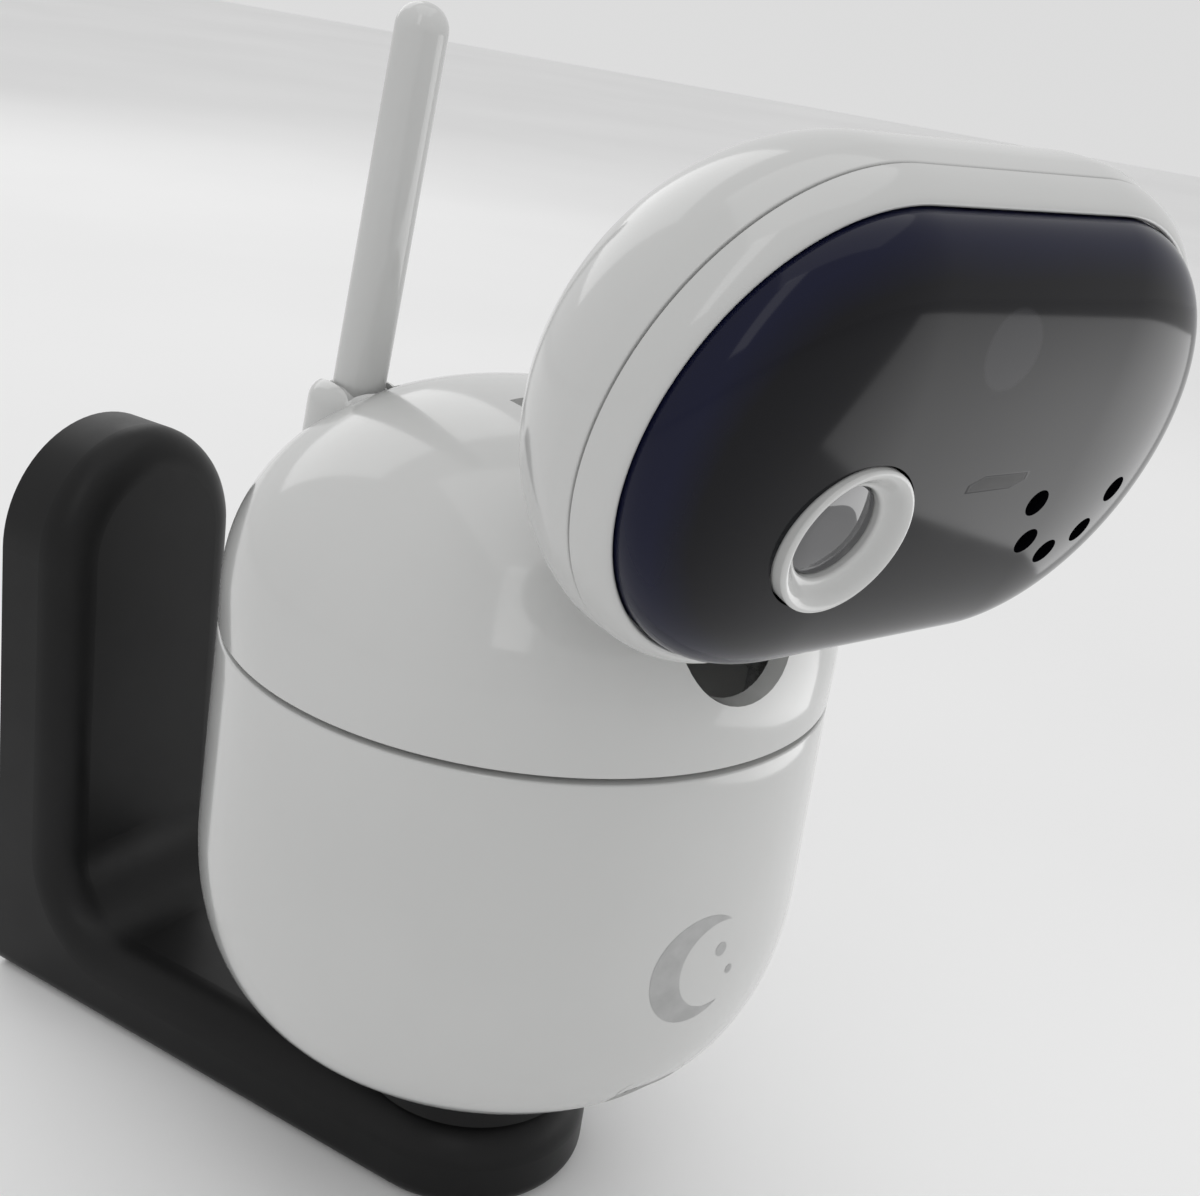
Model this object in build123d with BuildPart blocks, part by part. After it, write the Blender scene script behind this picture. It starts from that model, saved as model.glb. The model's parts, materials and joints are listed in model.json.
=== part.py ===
"""Baby monitor camera: pan and tilt camera on a black wall bracket.

The camera is modelled in its own frame: its body's axis is Z, z = 0 is the seam between base and
turret, and it looks along -Y. CAMERA_SEAT then stands it on the bracket, turned by BODY_TURN.
The bracket's frame is the part's frame: +Z up, the wall is the plane y = 0, and the origin is
midway between the two wall screws.
"""
import os
from math import acos, cos, pi, radians, sin, tan

from build123d import *

os.makedirs("parts", exist_ok=True)

# ---------------------------------------------------------------- driving dimensions (mm)
WALL_TO_AXIS = 76.0      # from the wall to the camera body's axis
SEAM_Z = 33.0            # height of the base and turret seam above the origin
BODY_TURN = -20.0        # how far the camera is turned on its bracket, in degrees

BODY_R = 38.0            # outside radius of base and turret
SHELL = 2.4              # wall thickness of the white housings
BASE_H = 51.5            # seam to underside of the base
BELLY = 0.7              # how much wider the base is where its side starts to curve in
BASE_BEND_Z = -26.0      # where the base's side starts to curve in
FOOT_R = 22.0            # radius of the base's flat underside
SEAM_HALF = 0.35         # half the height of the groove between base and turret
DOME_H = 32.0            # seam to top of the turret
DOME_SIDE_Z = 5.0        # where the turret's side starts to curve in
SKIRT_R = 34.8           # turret skirt that hides the inside of the seam

BRACKET_W = 34.0         # width of plate and shelf
PLATE_T = 12.7
PLATE_TOP = 42.8
SHELF_T = 12.0
SHELF_LOW = -42.5
PEDESTAL_R = 15.0        # round block on the shelf that the camera stands on
PAD_T = 0.6              # rubber ring between base and shelf
BRACKET_ROUND = 5.5
INNER_ROUND = 11.0
WALL_SCREW_GAP = 40.0    # between the two wall screws, up and down
WALL_SCREW_R = 2.25

TILT_Z = 4.0             # height of the tilt axis above the seam
HEAD_TILT = 15.0         # how far the face looks down at rest, in degrees
FACE_OUT = 53.0          # face plane's centre in front of the body's axis
FACE_UP = 42.2           # face plane's centre above the seam
HEAD_HALF = 13.4         # half of the straight run of the pill outline
PANEL_R = 22.8           # end radius of the black face panel
CROWN = 8.0              # how far the face panel bulges in front of the face plane
HEAD_SEAM_R = 25.2       # end radius at the bezel seam
HEAD_R = 25.6            # largest end radius of the head
HEAD_MID = 5.0           # depth of the largest section
HEAD_DEPTH = 25.0        # face plane to the back of the head
HEAD_WALL = 2.0
BEZEL_SEAM = 2.8         # depth of the seam between bezel and head shell
REAR_SEAM = 18.8         # depth of the seam between head shell and rear cap
ARM_ANGLE = 41.0         # elevation of the arm at rest, seen from the tilt axis
ARM_W = 13.0
ARM_T = 10.0
SLOT_W = 17.0
SLOT_LOW_Z = 7.6         # lowest point of the slot that the arm moves in

LENS_X = -15.7
LENS_Y = -4.5
LENS_RING_R = 7.4
MIC_ARC_X = 17.4         # centre of the half ring of five small holes
MIC_ARC_Y = -3.1
MIC_ARC_R = 6.8
MIC_HOLE_R = 1.5
SENSOR_X = -3.6
SENSOR_Y = 13.1

ANTENNA_X = -14.5
ANTENNA_Y = 22.0
ANTENNA_PIVOT_Z = 24.5
ANTENNA_LEN = 48.5       # pivot to tip
ANTENNA_LEAN = 8.0       # how far the antenna leans forward at rest, in degrees
ANTENNA_W = 6.4
ANTENNA_D = 6.2
ANTENNA_FOLD = 35.0      # how far behind upright the antenna folds, in degrees

PAN_MODULE = 0.8
PAN_TEETH = 40
PAN_PINION_TEETH = 12
TILT_MODULE = 0.6
TILT_TEETH = 26
TILT_PINION_TEETH = 12
PRESSURE_ANGLE = 25.0
BACKLASH = 0.10          # taken off each tooth's thickness

SCREW_R = 1.2            # small case screws
SCREW_HEAD_R = 2.2
CLAMP_R = 3.175          # quarter inch camera screw

CAMERA_SEAT = Location((0, -WALL_TO_AXIS, SEAM_Z), (0, 0, BODY_TURN))
FACE = Plane(
    origin=(0, -FACE_OUT, FACE_UP),
    x_dir=(1, 0, 0),
    z_dir=(0, -cos(radians(HEAD_TILT)), -sin(radians(HEAD_TILT))),
)
FACE_SECTION = Plane(origin=FACE.origin, x_dir=FACE.y_dir, z_dir=FACE.x_dir)
ARM_DIR = Vector(0, -cos(radians(ARM_ANGLE)), sin(radians(ARM_ANGLE)))
TILT_CENTRE = Vector(0, 0, TILT_Z)
ARM_PLANE = Plane(origin=TILT_CENTRE, x_dir=(1, 0, 0), z_dir=ARM_DIR)

SHELF_TOP = SHELF_LOW + SHELF_T
PEDESTAL_TOP = SEAM_Z - BASE_H - PAD_T
FLOOR_TOP = -5.5         # top of the turret's floor
FLOOR_T = 2.0
FLOOR_LOW = FLOOR_TOP - FLOOR_T
DECK_TOP = -10.0         # top of the base's deck
DECK_T = 2.0
DECK_LOW = DECK_TOP - DECK_T
GEAR_TOP = DECK_LOW - 1.0
GEAR_T = 3.5
SPIGOT_R = 10.0
PAN_REACH = PAN_MODULE * (PAN_TEETH + PAN_PINION_TEETH) / 2
TILT_REACH = TILT_MODULE * (TILT_TEETH + TILT_PINION_TEETH) / 2
TILT_GEAR_X = 12.5
TILT_GEAR_T = 2.5
ROUND = 0.552            # Bezier handle length that gives a quarter circle


# ---------------------------------------------------------------- shared shapes
def gear_points(module, teeth):
    """Outline of an involute gear with a tooth centred on +X."""
    pitch_r = module * teeth / 2
    base_r = pitch_r * cos(radians(PRESSURE_ANGLE))
    tip_r = pitch_r + 0.9 * module
    root_r = pitch_r - 1.2 * module
    involute_at_pitch = tan(radians(PRESSURE_ANGLE)) - radians(PRESSURE_ANGLE)
    half_tooth = pi / (2 * teeth) - BACKLASH / (2 * pitch_r)
    start_r = max(base_r, root_r)
    steps = 4
    points = []
    for tooth in range(teeth):
        middle = 2 * pi * tooth / teeth
        flank = []
        for step in range(steps + 1):
            r = start_r + (tip_r - start_r) * step / steps
            roll = acos(base_r / r)
            flank.append((r, half_tooth + involute_at_pitch - (tan(roll) - roll)))
        root_angle = flank[0][1]
        rising = [(root_r, -root_angle)] + [(r, -a) for r, a in flank]
        falling = [(r, a) for r, a in reversed(flank)] + [(root_r, root_angle)]
        for r, a in rising + falling:
            points.append((r * cos(middle + a), r * sin(middle + a)))
    return points


def base_section(inset):
    """Half section of the base: outside for inset 0, inside for inset SHELL."""
    side_r = BODY_R - inset
    foot_r = FOOT_R - inset / 2
    low = -BASE_H + inset
    bend = BASE_BEND_Z
    with BuildSketch(Plane.XZ) as section:
        with BuildLine():
            Line((0, -SEAM_HALF), (side_r, -SEAM_HALF))
            Line((side_r, -SEAM_HALF), (side_r + BELLY, bend))
            Bezier(
                (side_r + BELLY, bend),
                (side_r + 1.4 * BELLY, bend + 0.62 * (low - bend)),
                (foot_r + 0.62 * (side_r - foot_r), low),
                (foot_r, low),
            )
            Line((foot_r, low), (0, low))
            Line((0, low), (0, -SEAM_HALF))
        make_face()
    return section.sketch


def dome_section(inset):
    """Half section of the turret: outside for inset 0, inside for inset SHELL."""
    side_r = BODY_R - inset
    top = DOME_H - inset
    with BuildSketch(Plane.XZ) as section:
        with BuildLine():
            Line((0, SEAM_HALF), (side_r, SEAM_HALF))
            Line((side_r, SEAM_HALF), (side_r, DOME_SIDE_Z))
            Bezier(
                (side_r, DOME_SIDE_Z),
                (side_r, DOME_SIDE_Z + 0.56 * (top - DOME_SIDE_Z)),
                (0.62 * side_r, top),
                (0, top),
            )
            Line((0, top), (0, SEAM_HALF))
        make_face()
    return section.sketch


def pill(section):
    """Solid with a pill outline: a half section run straight across and round both ends."""
    with BuildPart() as body:
        extrude(section, amount=HEAD_HALF, both=True)
        mirror(about=Plane(origin=FACE.origin, x_dir=FACE.x_dir, z_dir=FACE.y_dir))
        for side in (1, -1):
            end_axis = Axis(FACE.origin + Vector(side * HEAD_HALF, 0, 0), FACE.z_dir * -side)
            revolve(section.moved(Location((side * HEAD_HALF, 0, 0))), axis=end_axis, revolution_arc=180)
    return body.part


def block_section(radius, front, back):
    """Plain half section between two depths behind the face plane."""
    with BuildSketch(FACE_SECTION) as section:
        with BuildLine():
            Polyline((0, -front), (radius, -front), (radius, -back), (0, -back), close=True)
        make_face()
    return section.sketch


def head_section(inset):
    """Half section of the head's back shell, from the bezel seam to the back."""
    max_r = HEAD_R - inset
    seam_r = HEAD_SEAM_R - inset
    back = HEAD_DEPTH - inset
    with BuildSketch(FACE_SECTION) as section:
        with BuildLine():
            Line((0, -BEZEL_SEAM), (seam_r, -BEZEL_SEAM))
            Line((seam_r, -BEZEL_SEAM), (max_r, -HEAD_MID))
            Bezier(
                (max_r, -HEAD_MID),
                (max_r, -HEAD_MID - ROUND * (back - HEAD_MID)),
                (ROUND * max_r, -back),
                (0, -back),
            )
            Line((0, -back), (0, -BEZEL_SEAM))
        make_face()
    return section.sketch


def panel_section(inset):
    """Half section of the face panel: a rounded rim and a gently crowned front."""
    rim_r = PANEL_R - inset
    back = 1.2 + inset / 2
    with BuildSketch(FACE_SECTION) as section:
        with BuildLine():
            Line((0, -back), (rim_r, -back))
            Line((rim_r, -back), (rim_r, 0.4 - inset))
            Bezier(
                (rim_r, 0.4 - inset),
                (rim_r, 0.4 + 0.68 * (CROWN - 0.4) - inset),
                (0.84 * rim_r, 0.4 + 0.88 * (CROWN - 0.4) - inset),
                (0, CROWN - inset),
            )
            Line((0, CROWN - inset), (0, -back))
        make_face()
    return section.sketch


def ring_places(radius, angles):
    return [(radius * cos(radians(a)), radius * sin(radians(a))) for a in angles]


def add_screws(places, head_z, length, points=-1):
    """Round-head case screws along Z with the heads' outer faces at head_z; points is the way down or up."""
    head_h = 1.2
    with Locations(*[(x, y, head_z + points * head_h / 2) for x, y in places]):
        Cylinder(SCREW_HEAD_R, head_h)
    with Locations(*[(x, y, head_z + points * (head_h + length / 2)) for x, y in places]):
        Cylinder(SCREW_R, length)
    with Locations(*[(x, y, head_z) for x, y in places]):
        Box(2.8, 0.6, 1.0, mode=Mode.SUBTRACT)


def finish(piece, name, on_camera=True):
    """Label a piece, stand camera pieces on the bracket, and write the STEP file."""
    piece.label = name
    if on_camera:
        piece.location = CAMERA_SEAT
    export_step(piece, f"parts/{name}.step")


# ---------------------------------------------------------------- wall bracket
CLAMP_HEAD_R = 7.0
CLAMP_HEAD_H = 5.0
HALF_W = BRACKET_W / 2
WALL_PLATE_W = 24.0
WALL_PLATE_T = 2.5
WALL_PLATE_LOW = -WALL_SCREW_GAP / 2 - 9.0
WALL_PLATE_TOP = WALL_SCREW_GAP / 2 + 9.0
WALL_SCREW_PLACES = [(0, -WALL_SCREW_GAP / 2), (0, WALL_SCREW_GAP / 2)]


def plate_outline(low, half_width, top):
    """Plate outline: straight sides and a half round top."""
    with BuildSketch(Plane.XZ) as outline:
        with BuildLine():
            Polyline((half_width, top - half_width), (half_width, low), (-half_width, low),
                     (-half_width, top - half_width))
            ThreePointArc((-half_width, top - half_width), (0, top), (half_width, top - half_width))
        make_face()
    return outline.sketch


with BuildPart() as wall_bracket:
    extrude(plate_outline(SHELF_LOW, HALF_W, PLATE_TOP), amount=PLATE_T)
    with BuildSketch(Plane.XY.offset(SHELF_LOW)):
        with BuildLine():
            Polyline((HALF_W, -WALL_TO_AXIS), (HALF_W, 0), (-HALF_W, 0), (-HALF_W, -WALL_TO_AXIS))
            ThreePointArc((-HALF_W, -WALL_TO_AXIS), (0, -WALL_TO_AXIS - HALF_W), (HALF_W, -WALL_TO_AXIS))
        make_face()
    extrude(amount=SHELF_T)
    inner_corner = wall_bracket.edges().filter_by(Axis.X).filter_by_position(
        Axis.Z, SHELF_TOP - 0.1, SHELF_TOP + 0.1)
    fillet(inner_corner, radius=INNER_ROUND)
    shelf_low_rim = wall_bracket.faces().sort_by(Axis.Z)[0].edges().filter_by_position(Axis.Y, -999, -1)
    room_rim = (
        wall_bracket.edges()
        .filter_by_position(Axis.Y, -999, -PLATE_T + 0.1)
        .filter_by_position(Axis.Z, SHELF_TOP - 0.1, 999)
        .filter_by(Axis.X, reverse=True)
    )
    fillet(room_rim, radius=BRACKET_ROUND)
    fillet(shelf_low_rim, radius=2.5)
    with BuildSketch(Plane.XY.offset(SHELF_TOP)):
        with Locations((0, -WALL_TO_AXIS)):
            Circle(PEDESTAL_R)
    extrude(amount=PEDESTAL_TOP - SHELF_TOP)
    extrude(plate_outline(WALL_PLATE_LOW, WALL_PLATE_W / 2 + 0.2, WALL_PLATE_TOP + 0.2), amount=WALL_PLATE_T + 0.1,
            mode=Mode.SUBTRACT)
    with BuildSketch(Plane.XZ):
        with Locations(*WALL_SCREW_PLACES):
            Circle(5.0)
    extrude(amount=WALL_PLATE_T + 5.0, mode=Mode.SUBTRACT)
    with BuildSketch(Plane.XY.offset(SHELF_LOW)):
        with Locations((0, -WALL_TO_AXIS)):
            Circle(CLAMP_HEAD_R + 0.6)
    extrude(amount=CLAMP_HEAD_H, mode=Mode.SUBTRACT)
    with BuildSketch(Plane.XY.offset(SHELF_LOW)):
        with Locations((0, -WALL_TO_AXIS)):
            Circle(CLAMP_R + 0.25)
    extrude(amount=PEDESTAL_TOP - SHELF_LOW, mode=Mode.SUBTRACT)
finish(wall_bracket.part, "wall_bracket", on_camera=False)

# Flat plate screwed to the wall; the bracket's recess presses over it.
with BuildPart() as wall_plate:
    extrude(plate_outline(WALL_PLATE_LOW + 0.2, WALL_PLATE_W / 2, WALL_PLATE_TOP), amount=WALL_PLATE_T)
    with BuildSketch(Plane.XZ):
        with Locations(*WALL_SCREW_PLACES):
            Circle(WALL_SCREW_R)
    extrude(amount=WALL_PLATE_T, mode=Mode.SUBTRACT)
finish(wall_plate.part, "wall_plate", on_camera=False)

# Quarter inch camera screw with a coin slot, up through shelf and pedestal into the base.
INSERT_TOP = -BASE_H + 7.5
CLAMP_TOP = INSERT_TOP - 1.0
CLAMP_LOW = SHELF_LOW - SEAM_Z + 1.0
CLAMP_SHOULDER = SHELF_LOW - SEAM_Z + CLAMP_HEAD_H

with BuildPart() as clamp_screw:
    with BuildSketch(Plane.XY.offset(CLAMP_LOW)):
        Circle(CLAMP_HEAD_R)
    extrude(amount=CLAMP_SHOULDER - CLAMP_LOW)
    chamfer(clamp_screw.faces().sort_by(Axis.Z)[0].edges(), length=0.6)
    with BuildSketch(Plane.XY.offset(CLAMP_SHOULDER)):
        Circle(CLAMP_R)
    extrude(amount=CLAMP_TOP - CLAMP_SHOULDER)
    chamfer(clamp_screw.faces().sort_by(Axis.Z)[-1].edges(), length=0.5)
    with BuildSketch(Plane.XY.offset(CLAMP_LOW)):
        SlotOverall(11.0, 1.8)
    extrude(amount=1.6, mode=Mode.SUBTRACT)
finish(clamp_screw.part, "clamp_screw")


# ---------------------------------------------------------------- base
COVER_R = 17.0
COVER_T = 2.0
BOSS_PLACES = ring_places(32.5, (60, 150, 210, 300))
COVER_SCREW_PLACES = ring_places(15.4, (30, 150, 270))
REAR_SOCKET_Z = -30.0
BUTTON_Z = -17.5
BUTTON_R = 3.5
GRILLE_ALONG = 0.55      # place of the speaker grille along the base's lower curve
GRILLE_W = 10.0
GRILLE_H = 5.0

lower_curve = Bezier(
    (0, -BODY_R - BELLY, BASE_BEND_Z),
    (0, -BODY_R - 1.4 * BELLY, BASE_BEND_Z - 0.62 * (BASE_H + BASE_BEND_Z)),
    (0, -FOOT_R - 0.62 * (BODY_R - FOOT_R), -BASE_H),
    (0, -FOOT_R, -BASE_H),
)
grille_tangent = lower_curve % GRILLE_ALONG
GRILLE_PLANE = Plane(
    origin=lower_curve @ GRILLE_ALONG,
    x_dir=(1, 0, 0),
    z_dir=(0, grille_tangent.Z, -grille_tangent.Y),
)
BUTTON_PLANE = Plane(origin=(0, BODY_R, BUTTON_Z), x_dir=(-1, 0, 0), z_dir=(0, 1, 0))
SOCKET_PLANE = Plane(origin=(0, BODY_R, REAR_SOCKET_Z), x_dir=(-1, 0, 0), z_dir=(0, 1, 0))

with BuildPart() as base_housing:
    revolve(base_section(0), axis=Axis.Z)
    revolve(base_section(SHELL), axis=Axis.Z, mode=Mode.SUBTRACT)
    with BuildSketch(Plane.XY.offset(-BASE_H)):
        Circle(FOOT_R)
    extrude(amount=4.5)
    with BuildSketch(Plane.XY.offset(-BASE_H)):
        Circle(COVER_R + 0.15)
    extrude(amount=COVER_T, mode=Mode.SUBTRACT)
    with BuildSketch(Plane.XY.offset(-BASE_H)):
        Circle(COVER_R - 4.0)
    extrude(amount=5.0, mode=Mode.SUBTRACT)
    with BuildSketch(Plane.XY.offset(-BASE_H + COVER_T)):
        with Locations(*COVER_SCREW_PLACES):
            Circle(SCREW_R)
    extrude(amount=4.0, mode=Mode.SUBTRACT)
    with BuildSketch(Plane.XY.offset(DECK_LOW)):
        with Locations(*BOSS_PLACES):
            Circle(3.6)
    extrude(amount=-12.0)
    with BuildSketch(Plane.XY.offset(DECK_LOW)):
        with Locations(*BOSS_PLACES):
            Circle(SCREW_R)
    extrude(amount=-9.0, mode=Mode.SUBTRACT)
    with BuildSketch(GRILLE_PLANE.offset(-1.2)):
        SlotOverall(GRILLE_W + 0.2, GRILLE_H + 0.2)
    extrude(amount=4.0, mode=Mode.SUBTRACT)
    with BuildSketch(GRILLE_PLANE.offset(-5.0)):
        SlotOverall(GRILLE_W - 2.0, GRILLE_H - 2.0)
    extrude(amount=5.0, mode=Mode.SUBTRACT)
    with BuildSketch(BUTTON_PLANE.offset(-6.0)):
        Circle(BUTTON_R + 0.3)
    extrude(amount=8.0, mode=Mode.SUBTRACT)
    with BuildSketch(SOCKET_PLANE.offset(-6.0)):
        SlotOverall(10.0, 4.0)
    extrude(amount=8.0, mode=Mode.SUBTRACT)
finish(base_housing.part, "base_housing")

with BuildPart() as bottom_cover:
    with BuildSketch(Plane.XY.offset(-BASE_H)):
        Circle(COVER_R)
    extrude(amount=COVER_T)
    with BuildSketch(Plane.XY.offset(-BASE_H + COVER_T)):
        Circle(7.4)
    extrude(amount=INSERT_TOP + BASE_H - COVER_T)
    with BuildSketch(Plane.XY.offset(-BASE_H)):
        Circle(4.8)
    extrude(amount=20.0, mode=Mode.SUBTRACT)
    with BuildSketch(Plane.XY.offset(-BASE_H)):
        with Locations(*COVER_SCREW_PLACES):
            Circle(SCREW_R + 0.2)
    extrude(amount=COVER_T, mode=Mode.SUBTRACT)
finish(bottom_cover.part, "bottom_cover")

with BuildPart() as threaded_insert:
    with BuildSketch(Plane.XY.offset(-BASE_H)):
        Circle(4.8)
        Circle(CLAMP_R + 0.05, mode=Mode.SUBTRACT)
    extrude(amount=INSERT_TOP + BASE_H)
finish(threaded_insert.part, "threaded_insert")

with BuildPart() as foot_ring:
    with BuildSketch(Plane.XY.offset(-BASE_H)):
        Circle(12.0)
        Circle(7.5, mode=Mode.SUBTRACT)
    extrude(amount=-PAD_T)
finish(foot_ring.part, "foot_ring")

with BuildPart() as cover_screws:
    with BuildSketch(Plane.XY.offset(-BASE_H + COVER_T)):
        with Locations(*COVER_SCREW_PLACES):
            Circle(SCREW_R)
    extrude(amount=3.5)
    with BuildSketch(Plane.XY.offset(-BASE_H)):
        with Locations(*COVER_SCREW_PLACES):
            Circle(SCREW_R + 0.2)
    extrude(amount=COVER_T)
finish(cover_screws.part, "cover_screws")

# Deck across the top of the base: it carries the pan bearing, and the pan motor hangs below it.
MOTOR_R = 10.0
MOTOR_TOP = -20.0
MOTOR_H = 15.0
MOTOR_EAR = 13.5

with BuildPart() as base_deck:
    with BuildSketch(Plane.XY.offset(DECK_LOW)):
        Circle(BODY_R - SHELL - 0.4)
        Circle(12.0, mode=Mode.SUBTRACT)
    extrude(amount=DECK_T)
    with BuildSketch(Plane.XY.offset(DECK_LOW)):
        with Locations((PAN_REACH, MOTOR_EAR), (PAN_REACH, -MOTOR_EAR)):
            Circle(2.4)
    extrude(amount=MOTOR_TOP - DECK_LOW)
    with BuildSketch(Plane.XY.offset(DECK_TOP - 1.3)):
        with Locations(*BOSS_PLACES):
            Circle(SCREW_HEAD_R + 0.1)
    extrude(amount=2.0, mode=Mode.SUBTRACT)
    with BuildSketch(Plane.XY.offset(DECK_LOW)):
        with Locations(*BOSS_PLACES):
            Circle(SCREW_R + 0.1)
    extrude(amount=2.0, mode=Mode.SUBTRACT)
finish(base_deck.part, "base_deck")

with BuildPart() as deck_screws:
    add_screws(BOSS_PLACES, DECK_TOP - 0.1, 8.0)
finish(deck_screws.part, "deck_screws")

with BuildPart() as pan_bearing:
    with BuildSketch(Plane.XY.offset(DECK_LOW - 0.5)):
        Circle(12.0)
    extrude(amount=DECK_TOP - DECK_LOW + 0.5)
    with BuildSketch(Plane.XY.offset(DECK_TOP)):
        Circle(14.0)
    extrude(amount=1.0)
    with BuildSketch(Plane.XY.offset(DECK_LOW - 1)):
        Circle(SPIGOT_R + 0.05)
    extrude(amount=6.0, mode=Mode.SUBTRACT)
finish(pan_bearing.part, "pan_bearing")

with BuildPart() as pan_motor:
    with BuildSketch(Plane.XY.offset(MOTOR_TOP - MOTOR_H)):
        with Locations((PAN_REACH, 0)):
            Circle(MOTOR_R)
    extrude(amount=MOTOR_H)
    fillet(pan_motor.edges().filter_by(GeomType.CIRCLE), radius=0.6)
    with BuildSketch(Plane.XY.offset(MOTOR_TOP - 1.0)):
        with Locations((PAN_REACH, 0)):
            Rectangle(6.0, 2 * MOTOR_EAR)
        with Locations((PAN_REACH, MOTOR_EAR), (PAN_REACH, -MOTOR_EAR)):
            Circle(3.0)
    extrude(amount=1.0)
    with BuildSketch(Plane.XY.offset(MOTOR_TOP)):
        with Locations((PAN_REACH, 0)):
            Circle(1.55)
    extrude(amount=-4.5, mode=Mode.SUBTRACT)
finish(pan_motor.part, "pan_motor")

with BuildPart() as pan_pinion:
    with BuildSketch(Plane.XY.offset(GEAR_TOP - GEAR_T)):
        with Locations(Location((PAN_REACH, 0, 0), (0, 0, 180 / PAN_PINION_TEETH))):
            Polygon(*gear_points(PAN_MODULE, PAN_PINION_TEETH), align=None)
    extrude(amount=GEAR_T)
    with BuildSketch(Plane.XY.offset(MOTOR_TOP - 4.0)):
        with Locations((PAN_REACH, 0)):
            Circle(1.5)
    extrude(amount=GEAR_TOP - GEAR_T - MOTOR_TOP + 4.0)
finish(pan_pinion.part, "pan_pinion")

with BuildPart() as main_board:
    with BuildSketch(Plane.XY.offset(-41.0)):
        Circle(23.0)
        Circle(8.0, mode=Mode.SUBTRACT)
        with Locations((0, -28)):
            Rectangle(30, 17, mode=Mode.SUBTRACT)
    extrude(amount=1.6)
    with BuildSketch(Plane.XY.offset(-39.4)):
        with Locations((-13, 4)):
            Rectangle(11, 11)
        with Locations((-10, -12)):
            Rectangle(8, 6)
        with Locations((2, 16)):
            Rectangle(10, 5)
    extrude(amount=1.2)
finish(main_board.part, "main_board")

with BuildPart() as board_posts:
    with BuildSketch(Plane.XY.offset(-41.0)):
        with Locations(*ring_places(20.0, (45, 135, 225, 315))):
            Circle(2.0)
    extrude(amount=4.5 - BASE_H + 41.0)
finish(board_posts.part, "board_posts")

# Upright board behind the rear wall, with the supply socket and the pairing switch on it.
REAR_BOARD_Y = 28.0

with BuildPart() as rear_board:
    with BuildSketch(Plane.XZ.offset(-REAR_BOARD_Y)):
        with Locations((0, -24.5)):
            Rectangle(20, 23)
    extrude(amount=1.6)
    with BuildSketch(Plane.XZ.offset(-REAR_BOARD_Y)):
        with Locations((0, BUTTON_Z)):
            Rectangle(5.0, 5.0)
    extrude(amount=-2.2)
finish(rear_board.part, "rear_board")

with BuildPart() as power_socket:
    with BuildSketch(SOCKET_PLANE.offset(-1.2)):
        SlotOverall(9.6, 3.6)
    extrude(amount=-(BODY_R - REAR_BOARD_Y - 1.2))
    with BuildSketch(SOCKET_PLANE.offset(-1.2)):
        SlotOverall(8.9, 2.9)
    extrude(amount=-6.5, mode=Mode.SUBTRACT)
    with BuildSketch(SOCKET_PLANE.offset(-7.8)):
        Rectangle(6.6, 0.7)
    extrude(amount=5.2)
finish(power_socket.part, "power_socket")

with BuildPart() as pair_button:
    with BuildSketch(BUTTON_PLANE.offset(-2.8)):
        Circle(BUTTON_R)
    extrude(amount=3.7)
    fillet(pair_button.faces().sort_by(Axis.Y)[-1].edges(), radius=0.5)
    with BuildSketch(BUTTON_PLANE.offset(-4.3)):
        Circle(BUTTON_R + 1.0)
    extrude(amount=0.8)
    with BuildSketch(BUTTON_PLANE.offset(-3.6)):
        Circle(BUTTON_R)
    extrude(amount=0.8)
    with BuildSketch(BUTTON_PLANE.offset(-6.7)):
        Circle(1.4)
    extrude(amount=3.2)
finish(pair_button.part, "pair_button")

with BuildPart() as speaker:
    with BuildSketch(GRILLE_PLANE.offset(-5.2)):
        Circle(7.0)
    extrude(amount=-3.5)
    with BuildSketch(GRILLE_PLANE.offset(-8.7)):
        Circle(4.0)
    extrude(amount=-2.5)
finish(speaker.part, "speaker")

with BuildPart() as speaker_grille:
    with BuildSketch(GRILLE_PLANE.offset(-1.1)):
        SlotOverall(GRILLE_W, GRILLE_H)
    extrude(amount=0.8)
    with BuildSketch(GRILLE_PLANE):
        with GridLocations(1.6, 1.5, 5, 2):
            Circle(0.4)
    extrude(amount=-3.0, mode=Mode.SUBTRACT)
finish(speaker_grille.part, "speaker_grille")


# ---------------------------------------------------------------- turret
CASE_BOSS_PLACES = ring_places(30.4, (150, 210, 330))
SLOT_BACK_Y = -1.0
TILT_MOTOR_X = 17.0
TILT_MOTOR_LEN = 9.0
TILT_MOTOR_R = 7.5

antenna_section = Plane(origin=(ANTENNA_X, ANTENNA_Y, ANTENNA_PIVOT_Z), x_dir=(0, 1, 0), z_dir=(1, 0, 0))


def antenna_boss():
    """Low boss on the dome that carries the antenna's hinge."""
    with BuildPart() as boss:
        with BuildSketch(Plane.XY.offset(18.0)):
            with Locations((ANTENNA_X, ANTENNA_Y)):
                RectangleRounded(12.4, 11.6, 5.2)
        extrude(amount=ANTENNA_PIVOT_Z + 3.4 - 18.0)
        fillet(boss.faces().sort_by(Axis.Z)[-1].edges(), radius=2.0)
    return boss.part


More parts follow.
